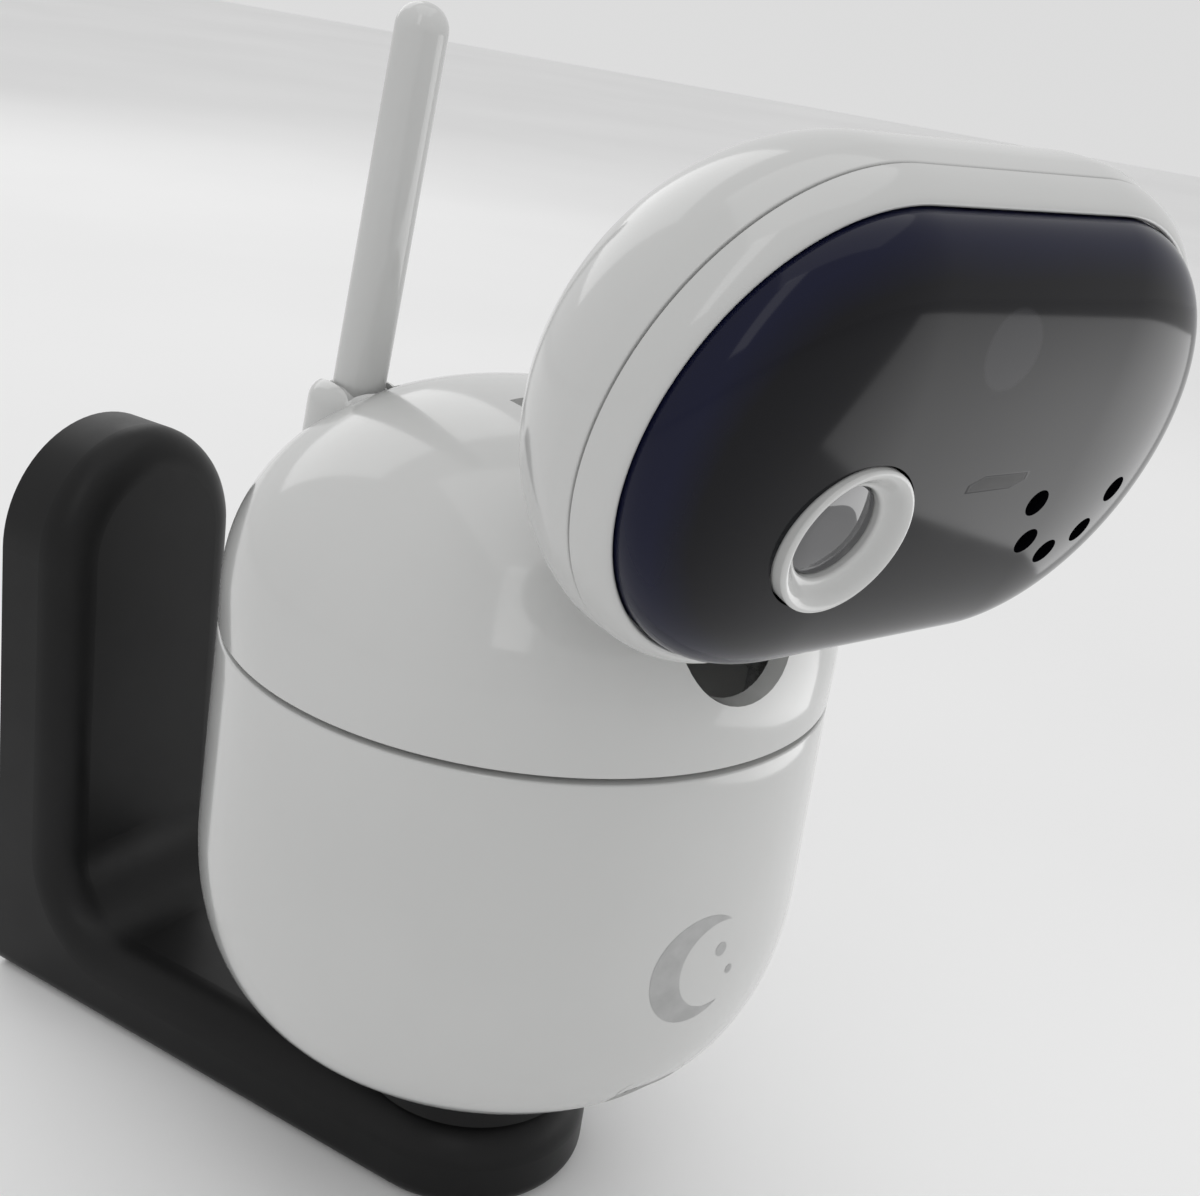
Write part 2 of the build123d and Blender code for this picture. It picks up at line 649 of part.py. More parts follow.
with BuildPart() as turret_shell:
    revolve(dome_section(0), axis=Axis.Z)
    revolve(dome_section(SHELL), axis=Axis.Z, mode=Mode.SUBTRACT)
    with BuildSketch(Plane.XY.offset(FLOOR_TOP)):
        Circle(SKIRT_R)
        Circle(SKIRT_R - 1.8, mode=Mode.SUBTRACT)
    extrude(amount=SEAM_HALF + 1.5 - FLOOR_TOP)
    with BuildSketch(Plane.XY.offset(SEAM_HALF)):
        Circle(BODY_R - 1.0)
        Circle(SKIRT_R - 1.8, mode=Mode.SUBTRACT)
    extrude(amount=2.0)
    with BuildSketch(Plane.XY.offset(FLOOR_TOP)):
        with Locations(*CASE_BOSS_PLACES):
            Circle(3.4)
    extrude(amount=14.0)
    add(antenna_boss())
    with BuildSketch(Plane.XY.offset(FLOOR_TOP)):
        with Locations(*CASE_BOSS_PLACES):
            Circle(SCREW_R)
    extrude(amount=10.0, mode=Mode.SUBTRACT)
    with BuildSketch(Plane.XZ.offset(-SLOT_BACK_Y)):
        with Locations((0, SLOT_LOW_Z + SLOT_W / 2)):
            Circle(SLOT_W / 2)
        with Locations((0, SLOT_LOW_Z + SLOT_W / 2 + 20)):
            Rectangle(SLOT_W, 40)
    extrude(amount=50.0, mode=Mode.SUBTRACT)
    with BuildSketch(antenna_section.offset(-3.6)):
        Circle(3.8)
        for lean in (ANTENNA_LEAN, (ANTENNA_LEAN - ANTENNA_FOLD) / 2, -ANTENNA_FOLD):
            with Locations(Location((0, 0, 0), (0, 0, lean))):
                with Locations((0, 5)):
                    Rectangle(7.4, 10)
    extrude(amount=7.2, mode=Mode.SUBTRACT)
    with BuildSketch(antenna_section.offset(-5.3)):
        Circle(1.0)
    extrude(amount=10.6, mode=Mode.SUBTRACT)
finish(turret_shell.part, "turret_shell")

with BuildPart() as turret_floor:
    with BuildSketch(Plane.XY.offset(FLOOR_LOW)):
        Circle(SKIRT_R)
    extrude(amount=FLOOR_T)
    with BuildSketch(Plane.XY.offset(FLOOR_LOW)):
        Circle(13.0)
    extrude(amount=-1.2)
    with BuildSketch(Plane.XY.offset(GEAR_TOP - GEAR_T)):
        Circle(SPIGOT_R)
    extrude(amount=FLOOR_LOW - GEAR_TOP + GEAR_T)
    with BuildSketch(Plane.XY.offset(FLOOR_TOP)):
        with Locations((21.5, TILT_REACH)):
            Rectangle(6.0, 12.0)
    extrude(amount=3.4)
    with BuildSketch(Plane.YZ.offset(18.0)):
        with Locations((TILT_REACH, TILT_Z)):
            Circle(TILT_MOTOR_R + 0.02)
    extrude(amount=7.0, mode=Mode.SUBTRACT)
    with BuildSketch(Plane.XY.offset(FLOOR_TOP)):
        Circle(7.0)
    extrude(amount=-20.0, mode=Mode.SUBTRACT)
    with BuildSketch(Plane.XY.offset(FLOOR_TOP)):
        with Locations(*CASE_BOSS_PLACES):
            Circle(SCREW_R + 0.2)
    extrude(amount=-FLOOR_T, mode=Mode.SUBTRACT)
finish(turret_floor.part, "turret_floor")

with BuildPart() as turret_screws:
    add_screws(CASE_BOSS_PLACES, FLOOR_LOW - 1.2, 8.0, points=1)
finish(turret_screws.part, "turret_screws")

with BuildPart() as pan_gear:
    with BuildSketch(Plane.XY.offset(GEAR_TOP - GEAR_T)):
        Polygon(*gear_points(PAN_MODULE, PAN_TEETH), align=None)
        Circle(SPIGOT_R, mode=Mode.SUBTRACT)
    extrude(amount=GEAR_T)
finish(pan_gear.part, "pan_gear")

BLOCK_X = 9.5
BLOCK_T = 4.0
TRUNNION_R = 2.5
for side_name, side in (("left", -1), ("right", 1)):
    with BuildPart() as tilt_bearing:
        with BuildSketch(Plane.YZ.offset(side * BLOCK_X - BLOCK_T / 2)):
            with BuildLine():
                Polyline((-5, TILT_Z), (-5, FLOOR_TOP), (5, FLOOR_TOP), (5, TILT_Z))
                ThreePointArc((5, TILT_Z), (0, TILT_Z + 5), (-5, TILT_Z))
            make_face()
            with Locations((0, TILT_Z)):
                Circle(TRUNNION_R + 0.05, mode=Mode.SUBTRACT)
        extrude(amount=BLOCK_T)
    finish(tilt_bearing.part, f"tilt_bearing_{side_name}")

tilt_gear_plane = Plane(origin=(TILT_GEAR_X, 0, TILT_Z), x_dir=(0, 1, 0), z_dir=(1, 0, 0))
with BuildPart() as tilt_motor:
    with BuildSketch(tilt_gear_plane.offset(TILT_MOTOR_X - TILT_GEAR_X)):
        with Locations((TILT_REACH, 0)):
            Circle(TILT_MOTOR_R)
            Circle(1.05, mode=Mode.SUBTRACT)
    extrude(amount=TILT_MOTOR_LEN)
    with BuildSketch(tilt_gear_plane.offset(TILT_MOTOR_X - TILT_GEAR_X + 5)):
        with Locations((TILT_REACH, 0)):
            Circle(3)
    extrude(amount=TILT_MOTOR_LEN - 5)
finish(tilt_motor.part, "tilt_motor")

with BuildPart() as tilt_pinion:
    with BuildSketch(tilt_gear_plane):
        with Locations(Location((TILT_REACH, 0, 0), (0, 0, 180 / TILT_PINION_TEETH))):
            Polygon(*gear_points(TILT_MODULE, TILT_PINION_TEETH), align=None)
    extrude(amount=TILT_GEAR_T)
    with BuildSketch(tilt_gear_plane.offset(TILT_GEAR_T)):
        with Locations((TILT_REACH, 0)):
            Circle(1.0)
    extrude(amount=TILT_MOTOR_X - TILT_GEAR_X - TILT_GEAR_T + 4.5)
finish(tilt_pinion.part, "tilt_pinion")


# ---------------------------------------------------------------- antenna
KNUCKLE_R = 3.3
ANTENNA_PLANE = Plane(
    origin=(ANTENNA_X, ANTENNA_Y, ANTENNA_PIVOT_Z),
    x_dir=(1, 0, 0),
    z_dir=(0, -sin(radians(ANTENNA_LEAN)), cos(radians(ANTENNA_LEAN))),
)

with BuildPart() as antenna_rod:
    with BuildSketch(ANTENNA_PLANE.offset(1.5)):
        RectangleRounded(ANTENNA_W, ANTENNA_D, 2.9)
    with BuildSketch(ANTENNA_PLANE.offset(ANTENNA_LEN)):
        RectangleRounded(ANTENNA_W - 0.4, ANTENNA_D - 0.4, 2.7)
    loft()
    fillet(antenna_rod.faces().sort_by(Axis.Z)[-1].edges(), radius=2.5)
    with BuildSketch(antenna_section.offset(-ANTENNA_W / 2)):
        Circle(KNUCKLE_R)
    extrude(amount=ANTENNA_W)
    with BuildSketch(antenna_section.offset(-ANTENNA_W / 2)):
        Circle(1.06)
    extrude(amount=ANTENNA_W, mode=Mode.SUBTRACT)
finish(antenna_rod.part, "antenna_rod")

with BuildPart() as antenna_pin:
    with BuildSketch(antenna_section.offset(-5.2)):
        Circle(1.0)
    extrude(amount=10.4)
finish(antenna_pin.part, "antenna_pin")


# ---------------------------------------------------------------- head
def face_plane(depth):
    return FACE.offset(-depth)


lens_place = (LENS_X, LENS_Y)
mic_places = [(MIC_ARC_X + x, MIC_ARC_Y + y) for x, y in ring_places(MIC_ARC_R, (180, 225, 270, 315, 360))]
led_places = [(-27, 5), (-20, 13), (20, 13), (28, 5)]

with BuildPart() as face_panel:
    add(pill(panel_section(0)))
    add(pill(panel_section(1.6)), mode=Mode.SUBTRACT)
    with BuildSketch(face_plane(4.0)):
        with Locations(lens_place):
            Circle(LENS_RING_R + 0.25)
        with Locations(*mic_places):
            Circle(MIC_HOLE_R)
    extrude(amount=5.0 + CROWN, mode=Mode.SUBTRACT)
finish(face_panel.part, "face_panel")

with BuildPart() as head_bezel:
    with BuildSketch(FACE_SECTION) as bezel_section:
        with BuildLine():
            Polyline((PANEL_R + 0.1, -1.25), (PANEL_R + 0.1, 0.5), (PANEL_R + 0.5, 0.9), (PANEL_R + 1.2, 0.5),
                     (HEAD_SEAM_R - 0.3, -BEZEL_SEAM + 0.9), (HEAD_SEAM_R, -BEZEL_SEAM + 0.3),
                     (HEAD_R - HEAD_WALL, -BEZEL_SEAM + 0.3), (HEAD_R - HEAD_WALL, -6.0),
                     (PANEL_R - 1.0, -6.0), (PANEL_R - 1.0, -1.25), close=True)
        make_face()
    add(pill(bezel_section.sketch))
finish(head_bezel.part, "head_bezel")

# Socket inside the head shell that the arm's flange is screwed to.
SOCKET_END = 47.0
FLANGE_T = 2.5
FLANGE_SCREW_X = 9.8


def arm_socket():
    with BuildPart() as socket:
        with BuildSketch(ARM_PLANE.offset(34.0)):
            Rectangle(ARM_W + 3.6, ARM_T + 3.6)
            with Locations((FLANGE_SCREW_X, 0), (-FLANGE_SCREW_X, 0)):
                Circle(2.5)
        extrude(amount=SOCKET_END - 34.0)
        add(pill(head_section(0.6)), mode=Mode.INTERSECT)
        with BuildSketch(FACE.offset(-REAR_SEAM + 0.3)):
            Rectangle(120, 80)
        extrude(amount=-20.0, mode=Mode.SUBTRACT)
    return socket.part


def arm_hole(clearance):
    with BuildPart() as hole:
        with BuildSketch(ARM_PLANE.offset(30.0)):
            RectangleRounded(ARM_W + 2 * clearance, ARM_T + 2 * clearance, 2.4)
        extrude(amount=30.0)
    return hole.part


def face_slab(front, back):
    """Everything between two depths behind the face plane."""
    with BuildPart() as slab:
        with BuildSketch(FACE.offset(-front)):
            Rectangle(140, 100)
        extrude(amount=-(back - front))
    return slab.part


with BuildPart() as head_shell:
    add(pill(head_section(0)))
    add(pill(head_section(HEAD_WALL)), mode=Mode.SUBTRACT)
    add(face_slab(REAR_SEAM - 0.2, 60.0), mode=Mode.SUBTRACT)
    add(face_slab(0.0, BEZEL_SEAM + 0.2), mode=Mode.SUBTRACT)
    add(pill(block_section(HEAD_R - HEAD_WALL + 0.15, 0.0, 6.4)), mode=Mode.SUBTRACT)
    add(arm_socket())
    add(arm_hole(0.15), mode=Mode.SUBTRACT)
    with BuildSketch(ARM_PLANE.offset(SOCKET_END)):
        with Locations((FLANGE_SCREW_X, 0), (-FLANGE_SCREW_X, 0)):
            Circle(SCREW_R)
    extrude(amount=-6.0, mode=Mode.SUBTRACT)
finish(head_shell.part, "head_shell")

def cap_lip():
    """Ring on the rear cap that plugs into the head shell, open where the arm comes in."""
    with BuildPart() as lip:
        add(pill(block_section(HEAD_R - 10.6, 17.4, 20.2)))
        add(pill(block_section(HEAD_R - 12.0, 17.0, 20.6)), mode=Mode.SUBTRACT)
        with BuildSketch(FACE.offset(-17.0)):
            with Locations((0, -12)):
                Rectangle(30, 22)
        extrude(amount=-4.0, mode=Mode.SUBTRACT)
    return lip.part


with BuildPart() as head_rear_cap:
    add(pill(head_section(0)))
    add(pill(head_section(HEAD_WALL)), mode=Mode.SUBTRACT)
    add(face_slab(0.0, REAR_SEAM + 0.2), mode=Mode.SUBTRACT)
    add(cap_lip())
    add(arm_hole(0.3), mode=Mode.SUBTRACT)
finish(head_rear_cap.part, "head_rear_cap")

lens_centre = FACE.from_local_coords((LENS_X, LENS_Y, 0))
lens_axis = Axis(lens_centre, FACE.z_dir)
LENS_BACK = CROWN - 2.9
LENS_SECTION = Plane(origin=lens_centre, x_dir=FACE.x_dir, z_dir=-FACE.y_dir)

with BuildPart() as lens_ring:
    with BuildSketch(LENS_SECTION):
        with BuildLine():
            Polyline((4.8, -3.0), (5.4, -3.0), (5.4, LENS_BACK), (LENS_RING_R, LENS_BACK),
                     (LENS_RING_R, LENS_BACK + 3.0), (LENS_RING_R - 0.4, LENS_BACK + 3.4),
                     (LENS_RING_R - 0.9, LENS_BACK + 3.3), (4.8, LENS_BACK + 1.5), close=True)
        make_face()
    revolve(axis=lens_axis)
finish(lens_ring.part, "lens_ring")

with BuildPart() as lens_window:
    with BuildSketch(face_plane(-LENS_BACK - 0.4)):
        with Locations(lens_place):
            Circle(4.75)
    extrude(amount=0.7)
finish(lens_window.part, "lens_window")

with BuildPart() as camera_module:
    with BuildSketch(face_plane(6.4)):
        with Locations(lens_place):
            Rectangle(11.0, 11.0)
    extrude(amount=3.4)
    with BuildSketch(face_plane(3.0)):
        with Locations(lens_place):
            Circle(4.2)
    extrude(amount=LENS_BACK + 3.2)
    with BuildSketch(face_plane(-LENS_BACK - 0.2)):
        with Locations(lens_place):
            Circle(2.6)
    extrude(amount=-1.2, mode=Mode.SUBTRACT)
finish(camera_module.part, "camera_module")

with BuildPart() as head_board:
    add(pill(block_section(18.5, 6.5, 8.0)))
finish(head_board.part, "head_board")

with BuildPart() as ir_leds:
    with BuildSketch(face_plane(6.4)):
        with Locations(*led_places):
            Circle(2.5)
    extrude(amount=3.2)
    fillet(ir_leds.faces().sort_by(SortBy.AREA)[-1].edges(), radius=0.2)
finish(ir_leds.part, "ir_leds")

with BuildPart() as light_sensor:
    with BuildSketch(face_plane(6.4)):
        with Locations((SENSOR_X, SENSOR_Y)):
            Circle(3.6)
        with Locations((SENSOR_X - 3.2, SENSOR_Y)):
            Rectangle(4.0, 8.0, mode=Mode.SUBTRACT)
    extrude(amount=10.2)
finish(light_sensor.part, "light_sensor")

with BuildPart() as microphone:
    with BuildSketch(face_plane(6.4)):
        with Locations((MIC_ARC_X, MIC_ARC_Y - MIC_ARC_R)):
            Circle(3.0)
    extrude(amount=9.0)
finish(microphone.part, "microphone")

with BuildPart() as head_arm:
    with BuildSketch(Plane.YZ):
        with Locations((0, TILT_Z)):
            Circle(6.5)
    extrude(amount=ARM_W / 2, both=True)
    with BuildSketch(ARM_PLANE):
        RectangleRounded(ARM_W, ARM_T, 2.2)
    extrude(amount=SOCKET_END)
    with BuildSketch(ARM_PLANE.offset(SOCKET_END)):
        RectangleRounded(2 * FLANGE_SCREW_X + 5.0, 12.0, 2.4)
    extrude(amount=FLANGE_T)
    with BuildSketch(ARM_PLANE.offset(SOCKET_END)):
        with Locations((FLANGE_SCREW_X, 0), (-FLANGE_SCREW_X, 0)):
            Circle(SCREW_R + 0.1)
    extrude(amount=FLANGE_T, mode=Mode.SUBTRACT)
    with BuildSketch(Plane.YZ.offset(-11.5)):
        with Locations((0, TILT_Z)):
            Circle(TRUNNION_R)
    extrude(amount=11.5 + TILT_GEAR_X + TILT_GEAR_T)
finish(head_arm.part, "head_arm")

with BuildPart() as flange_screws:
    with BuildSketch(ARM_PLANE.offset(SOCKET_END - 5.0)):
        with Locations((FLANGE_SCREW_X, 0), (-FLANGE_SCREW_X, 0)):
            Circle(SCREW_R)
    extrude(amount=5.0 + FLANGE_T)
    with BuildSketch(ARM_PLANE.offset(SOCKET_END + FLANGE_T)):
        with Locations((FLANGE_SCREW_X, 0), (-FLANGE_SCREW_X, 0)):
            Circle(SCREW_HEAD_R)
    extrude(amount=1.2)
    with BuildSketch(ARM_PLANE.offset(SOCKET_END + FLANGE_T + 0.6)):
        with Locations((FLANGE_SCREW_X, 0), (-FLANGE_SCREW_X, 0)):
            Rectangle(2.8, 0.6)
    extrude(amount=1.0, mode=Mode.SUBTRACT)
finish(flange_screws.part, "flange_screws")

with BuildPart() as tilt_gear:
    with BuildSketch(tilt_gear_plane):
        Polygon(*gear_points(TILT_MODULE, TILT_TEETH), align=None)
        Circle(TRUNNION_R, mode=Mode.SUBTRACT)
    extrude(amount=TILT_GEAR_T)
finish(tilt_gear.part, "tilt_gear")
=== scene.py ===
"""Looks of the baby monitor camera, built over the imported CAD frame.

All sizes are metres. The camera's own frame has its body's axis as Z, the seam between base and
turret at z = 0, and looks along -Y; SEAT stands it on the bracket. The head's frame has its
origin at the middle of the face, X to the right, Y up the face and Z out of it.
"""
import json
import math

import bmesh
import bpy
from mathutils import Matrix, Vector
from mathutils.bvhtree import BVHTree
from mathutils.interpolate import poly_3d_calc


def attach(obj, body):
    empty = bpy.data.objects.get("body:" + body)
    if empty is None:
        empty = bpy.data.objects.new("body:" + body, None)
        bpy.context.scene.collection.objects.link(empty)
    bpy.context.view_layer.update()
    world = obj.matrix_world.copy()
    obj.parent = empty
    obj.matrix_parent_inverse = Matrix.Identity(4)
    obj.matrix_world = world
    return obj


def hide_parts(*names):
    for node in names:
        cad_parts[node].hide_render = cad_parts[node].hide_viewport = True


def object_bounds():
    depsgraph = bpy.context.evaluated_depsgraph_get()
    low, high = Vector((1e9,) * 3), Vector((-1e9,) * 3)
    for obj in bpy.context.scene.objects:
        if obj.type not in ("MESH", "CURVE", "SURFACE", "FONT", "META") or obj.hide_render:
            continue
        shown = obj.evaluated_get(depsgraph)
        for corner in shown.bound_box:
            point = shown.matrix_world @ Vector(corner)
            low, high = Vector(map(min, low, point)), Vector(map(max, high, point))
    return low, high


MM = 0.001
WELD = 1e-7

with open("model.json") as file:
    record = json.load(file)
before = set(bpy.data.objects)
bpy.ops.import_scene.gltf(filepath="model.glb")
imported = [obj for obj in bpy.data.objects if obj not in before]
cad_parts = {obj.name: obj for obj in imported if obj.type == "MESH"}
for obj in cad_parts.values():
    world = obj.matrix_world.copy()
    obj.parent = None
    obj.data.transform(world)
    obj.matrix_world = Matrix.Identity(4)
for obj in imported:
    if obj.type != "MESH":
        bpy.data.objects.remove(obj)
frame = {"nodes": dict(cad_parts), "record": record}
CAD_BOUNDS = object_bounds()

# ---------------------------------------------------------------- driving sizes
WALL_TO_AXIS = 76 * MM
SEAM_Z = 33 * MM
BODY_TURN = math.radians(-20)
BODY_R = 38 * MM
SHELL = 2.4 * MM
BASE_H = 51.5 * MM
BELLY = 0.7 * MM
BASE_BEND_Z = -26 * MM
FOOT_R = 22 * MM
SEAM_HALF = 0.35 * MM
DOME_H = 32 * MM
DOME_SIDE_Z = 5 * MM
SLOT_W = 17 * MM
SLOT_LOW_Z = 7.6 * MM
HEAD_TILT = math.radians(15)
FACE_OUT = 53 * MM
FACE_UP = 42.2 * MM
HEAD_HALF = 13.4 * MM
PANEL_R = 22.8 * MM
CROWN = 8 * MM
HEAD_SEAM_R = 25.2 * MM
HEAD_R = 25.6 * MM
HEAD_MID = 5 * MM
HEAD_DEPTH = 25 * MM
HEAD_WALL = 2 * MM
BEZEL_SEAM = 2.8 * MM
REAR_SEAM = 18.8 * MM
LENS = Vector((-15.7, -4.5, 0)) * MM
SENSOR = Vector((-3.6, 13.1, 0)) * MM
MIC_ARC = Vector((17.4, -3.1, 0)) * MM
MIC_ARC_R = 6.8 * MM
MIC_HOLE_R = 1.5 * MM
ANTENNA = Vector((-14.5, 22, 24.5)) * MM
ANTENNA_LEN = 48.5 * MM
ANTENNA_LEAN = 8
ANTENNA_W = 6.4 * MM
ANTENNA_D = 6.2 * MM

SEAT = Matrix.Translation((0, -WALL_TO_AXIS, SEAM_Z)) @ Matrix.Rotation(BODY_TURN, 4, "Z")
FACE = SEAT @ Matrix.Translation((0, -FACE_OUT, FACE_UP)) @ Matrix.Rotation(math.pi / 2 + HEAD_TILT, 4, "X")
ANTENNA_SEAT = SEAT @ Matrix.Translation(ANTENNA)
ANTENNA_ROD = ANTENNA_SEAT @ Matrix.Rotation(math.radians(ANTENNA_LEAN), 4, "X")


# ---------------------------------------------------------------- mesh helpers
def link_object(name, data):
    obj = bpy.data.objects.new(name, data)
    bpy.context.scene.collection.objects.link(obj)
    return obj


def finished(bm, name, place=Matrix()):
    """Object of a finished bmesh, carried to its place."""
    mesh = bpy.data.meshes.new(name)
    bm.to_mesh(mesh)
    bm.free()
    mesh.transform(place)
    return link_object(name, mesh)


def bezier(start, first, second, end, steps):
    """Points of a cubic curve, without its first point."""
    points = []
    for step in range(1, steps + 1):
        t = step / steps
        points.append(tuple(
            (1 - t) ** 3 * a + 3 * (1 - t) ** 2 * t * b + 3 * (1 - t) * t * t * c + t ** 3 * d
            for a, b, c, d in zip(start, first, second, end)))
    return points


def corner(centre, radius, start, end, steps=5):
    """Points round a small arc, angles in degrees."""
    points = []
    for step in range(steps + 1):
        angle = math.radians(start + (end - start) * step / steps)
        points.append((centre[0] + radius * math.cos(angle), centre[1] + radius * math.sin(angle)))
    return points


def sweep(name, profile, stations, place):
    """Solid of a closed (distance, height) profile carried round the stations.

    A station is (centre x, centre y, direction x, direction y).
    """
    bm = bmesh.new()
    rings = []
    for cx, cy, dx, dy in stations:
        rings.append([bm.verts.new((cx + dx * r, cy + dy * r, h)) for r, h in profile])
    for ring, following in zip(rings, rings[1:] + rings[:1]):
        for k in range(len(profile)):
            after = (k + 1) % len(profile)
            bm.faces.new((ring[k], following[k], following[after], ring[after]))
    bmesh.ops.remove_doubles(bm, verts=bm.verts, dist=WELD)
    bmesh.ops.dissolve_degenerate(bm, dist=WELD, edges=bm.edges)
    bmesh.ops.recalc_face_normals(bm, faces=bm.faces)
    return finished(bm, name, place)


def circle_stations(segments):
    return [(0.0, 0.0, math.cos(2 * math.pi * k / segments), math.sin(2 * math.pi * k / segments))
            for k in range(segments)]


def pill_stations(half_run, segments=72, run_steps=12):
    """Stations round a pill outline: two half circles joined by straight runs."""
    stations = []
    for side in (1, -1):
        for k in range(segments + 1):
            angle = math.pi * (k / segments - 0.5)
            stations.append((side * half_run, 0.0, side * math.cos(angle), side * math.sin(angle)))
        for k in range(1, run_steps):
            stations.append((side * half_run * (1 - 2 * k / run_steps), 0.0, 0.0, float(side)))
    return stations


def loft(name, sections, place):
    """Solid through (height, outline) sections whose outlines have matching (x, y) points."""
    bm = bmesh.new()
    rings = [[bm.verts.new((x, y, height)) for x, y in outline] for height, outline in sections]
    bm.faces.new(rings[0][::-1])
    bm.faces.new(rings[-1])
    for lower, upper in zip(rings, rings[1:]):
        for k in range(len(lower)):
            after = (k + 1) % len(lower)
            bm.faces.new((lower[k], lower[after], upper[after], upper[k]))
    bmesh.ops.recalc_face_normals(bm, faces=bm.faces)
    return finished(bm, name, place)


def cutter(outline, low, high, place):
    """Throwaway prism between two heights, for cut()."""
    return loft("cut", [(low, outline), (high, outline)], place)


def circle(radius, segments, cx=0.0, cy=0.0):
    return [(cx + radius * math.cos(2 * math.pi * k / segments),
             cy + radius * math.sin(2 * math.pi * k / segments)) for k in range(segments)]


def stadium(width, height, cy=0.0, segments=16):
    """Outline with round ends: width overall, height across."""
    radius = height / 2
    half = width / 2 - radius
    points = []
    for side in (1, -1):
        for k in range(segments + 1):
            angle = math.pi * (k / segments - 0.5)
            points.append((side * (half + radius * math.cos(angle)), cy + side * radius * math.sin(angle)))
    return points


def rounded_rect(width, depth, radius, segments=8):
    """Outline of a rectangle with round corners."""
    points = []
    for sx, sy, start in ((1, 1, 0), (-1, 1, 90), (-1, -1, 180), (1, -1, 270)):
        middle = (sx * (width / 2 - radius), sy * (depth / 2 - radius))
        points += corner(middle, radius, start, start + 90, segments)
    return points


def smooth(obj, angle=32):
    """Smooth shading that stays sharp across edges steeper than the angle."""
    mesh = obj.data
    mesh.polygons.foreach_set("use_smooth", [True] * len(mesh.polygons))
    mesh.set_sharp_from_angle(angle=math.radians(angle))
    mesh.update()
    return obj


def cut(obj, *cutters):
    """Take the cutters out of obj and keep the untouched surfaces' own shading."""
    smooth(obj)
    source = obj.data.copy()
    for index, tool in enumerate(cutters):
        modifier = obj.modifiers.new(f"cut {index}", "BOOLEAN")
        modifier.object = tool
        modifier.operation = "DIFFERENCE"
        modifier.solver = "EXACT"
    bpy.context.view_layer.update()
    graph = bpy.context.evaluated_depsgraph_get()
    result = bpy.data.meshes.new_from_object(obj.evaluated_get(graph))
    obj.modifiers.clear()
    obj.data = result
    for tool in cutters:
        bpy.data.objects.remove(tool)
    smooth(obj)
    keep_normals(obj.data, source)
    bpy.data.meshes.remove(source)
    return obj


PROBE_INWARD = 0.02
SAME_PLACE = 0.06 * MM
SAME_FACING = 0.9
LEAST_LENGTH = 0.5
LEAST_FACING = 0.8


def keep_normals(mesh, source):
    """Give mesh the shading normals of source wherever it still lies on source's surface.

    Each corner is looked up a little inward from its vertex, so that it finds its own face, and is
    taken over only where place and facing agree and the blended normal stays sound.
    """
    tree = BVHTree.FromPolygons([v.co for v in source.vertices], [p.vertices for p in source.polygons])
    source_normals = [n.vector.copy() for n in source.corner_normals]
    normals = [n.vector.copy() for n in mesh.corner_normals]
    for polygon in mesh.polygons:
        for loop_index in polygon.loop_indices:
            vertex = mesh.vertices[mesh.loops[loop_index].vertex_index].co
            probe = vertex.lerp(polygon.center, PROBE_INWARD)
            place, face_normal, face_index, distance = tree.find_nearest(probe)
            if place is None or distance > SAME_PLACE or face_normal.dot(polygon.normal) < SAME_FACING:
                continue
            face = source.polygons[face_index]
            corners = [source.vertices[k].co for k in face.vertices]
            weights = poly_3d_calc(corners, vertex)
            mixed = Vector()
            for weight, source_loop in zip(weights, face.loop_indices):
                mixed += source_normals[source_loop] * max(0.0, weight)
            if mixed.length > LEAST_LENGTH and mixed.normalized().dot(polygon.normal) > LEAST_FACING:
                normals[loop_index] = mixed.normalized()
    mesh.normals_split_custom_set(normals)


def piece(obj, surface, body, slot, *cad_nodes):
    """Dress a piece, let it ride on its body, and let it stand for CAD nodes."""
    obj.data.materials.clear()
    obj.data.materials.append(surface.material)
    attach(obj, body)
    if cad_nodes:
        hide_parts(*cad_nodes)
    return obj


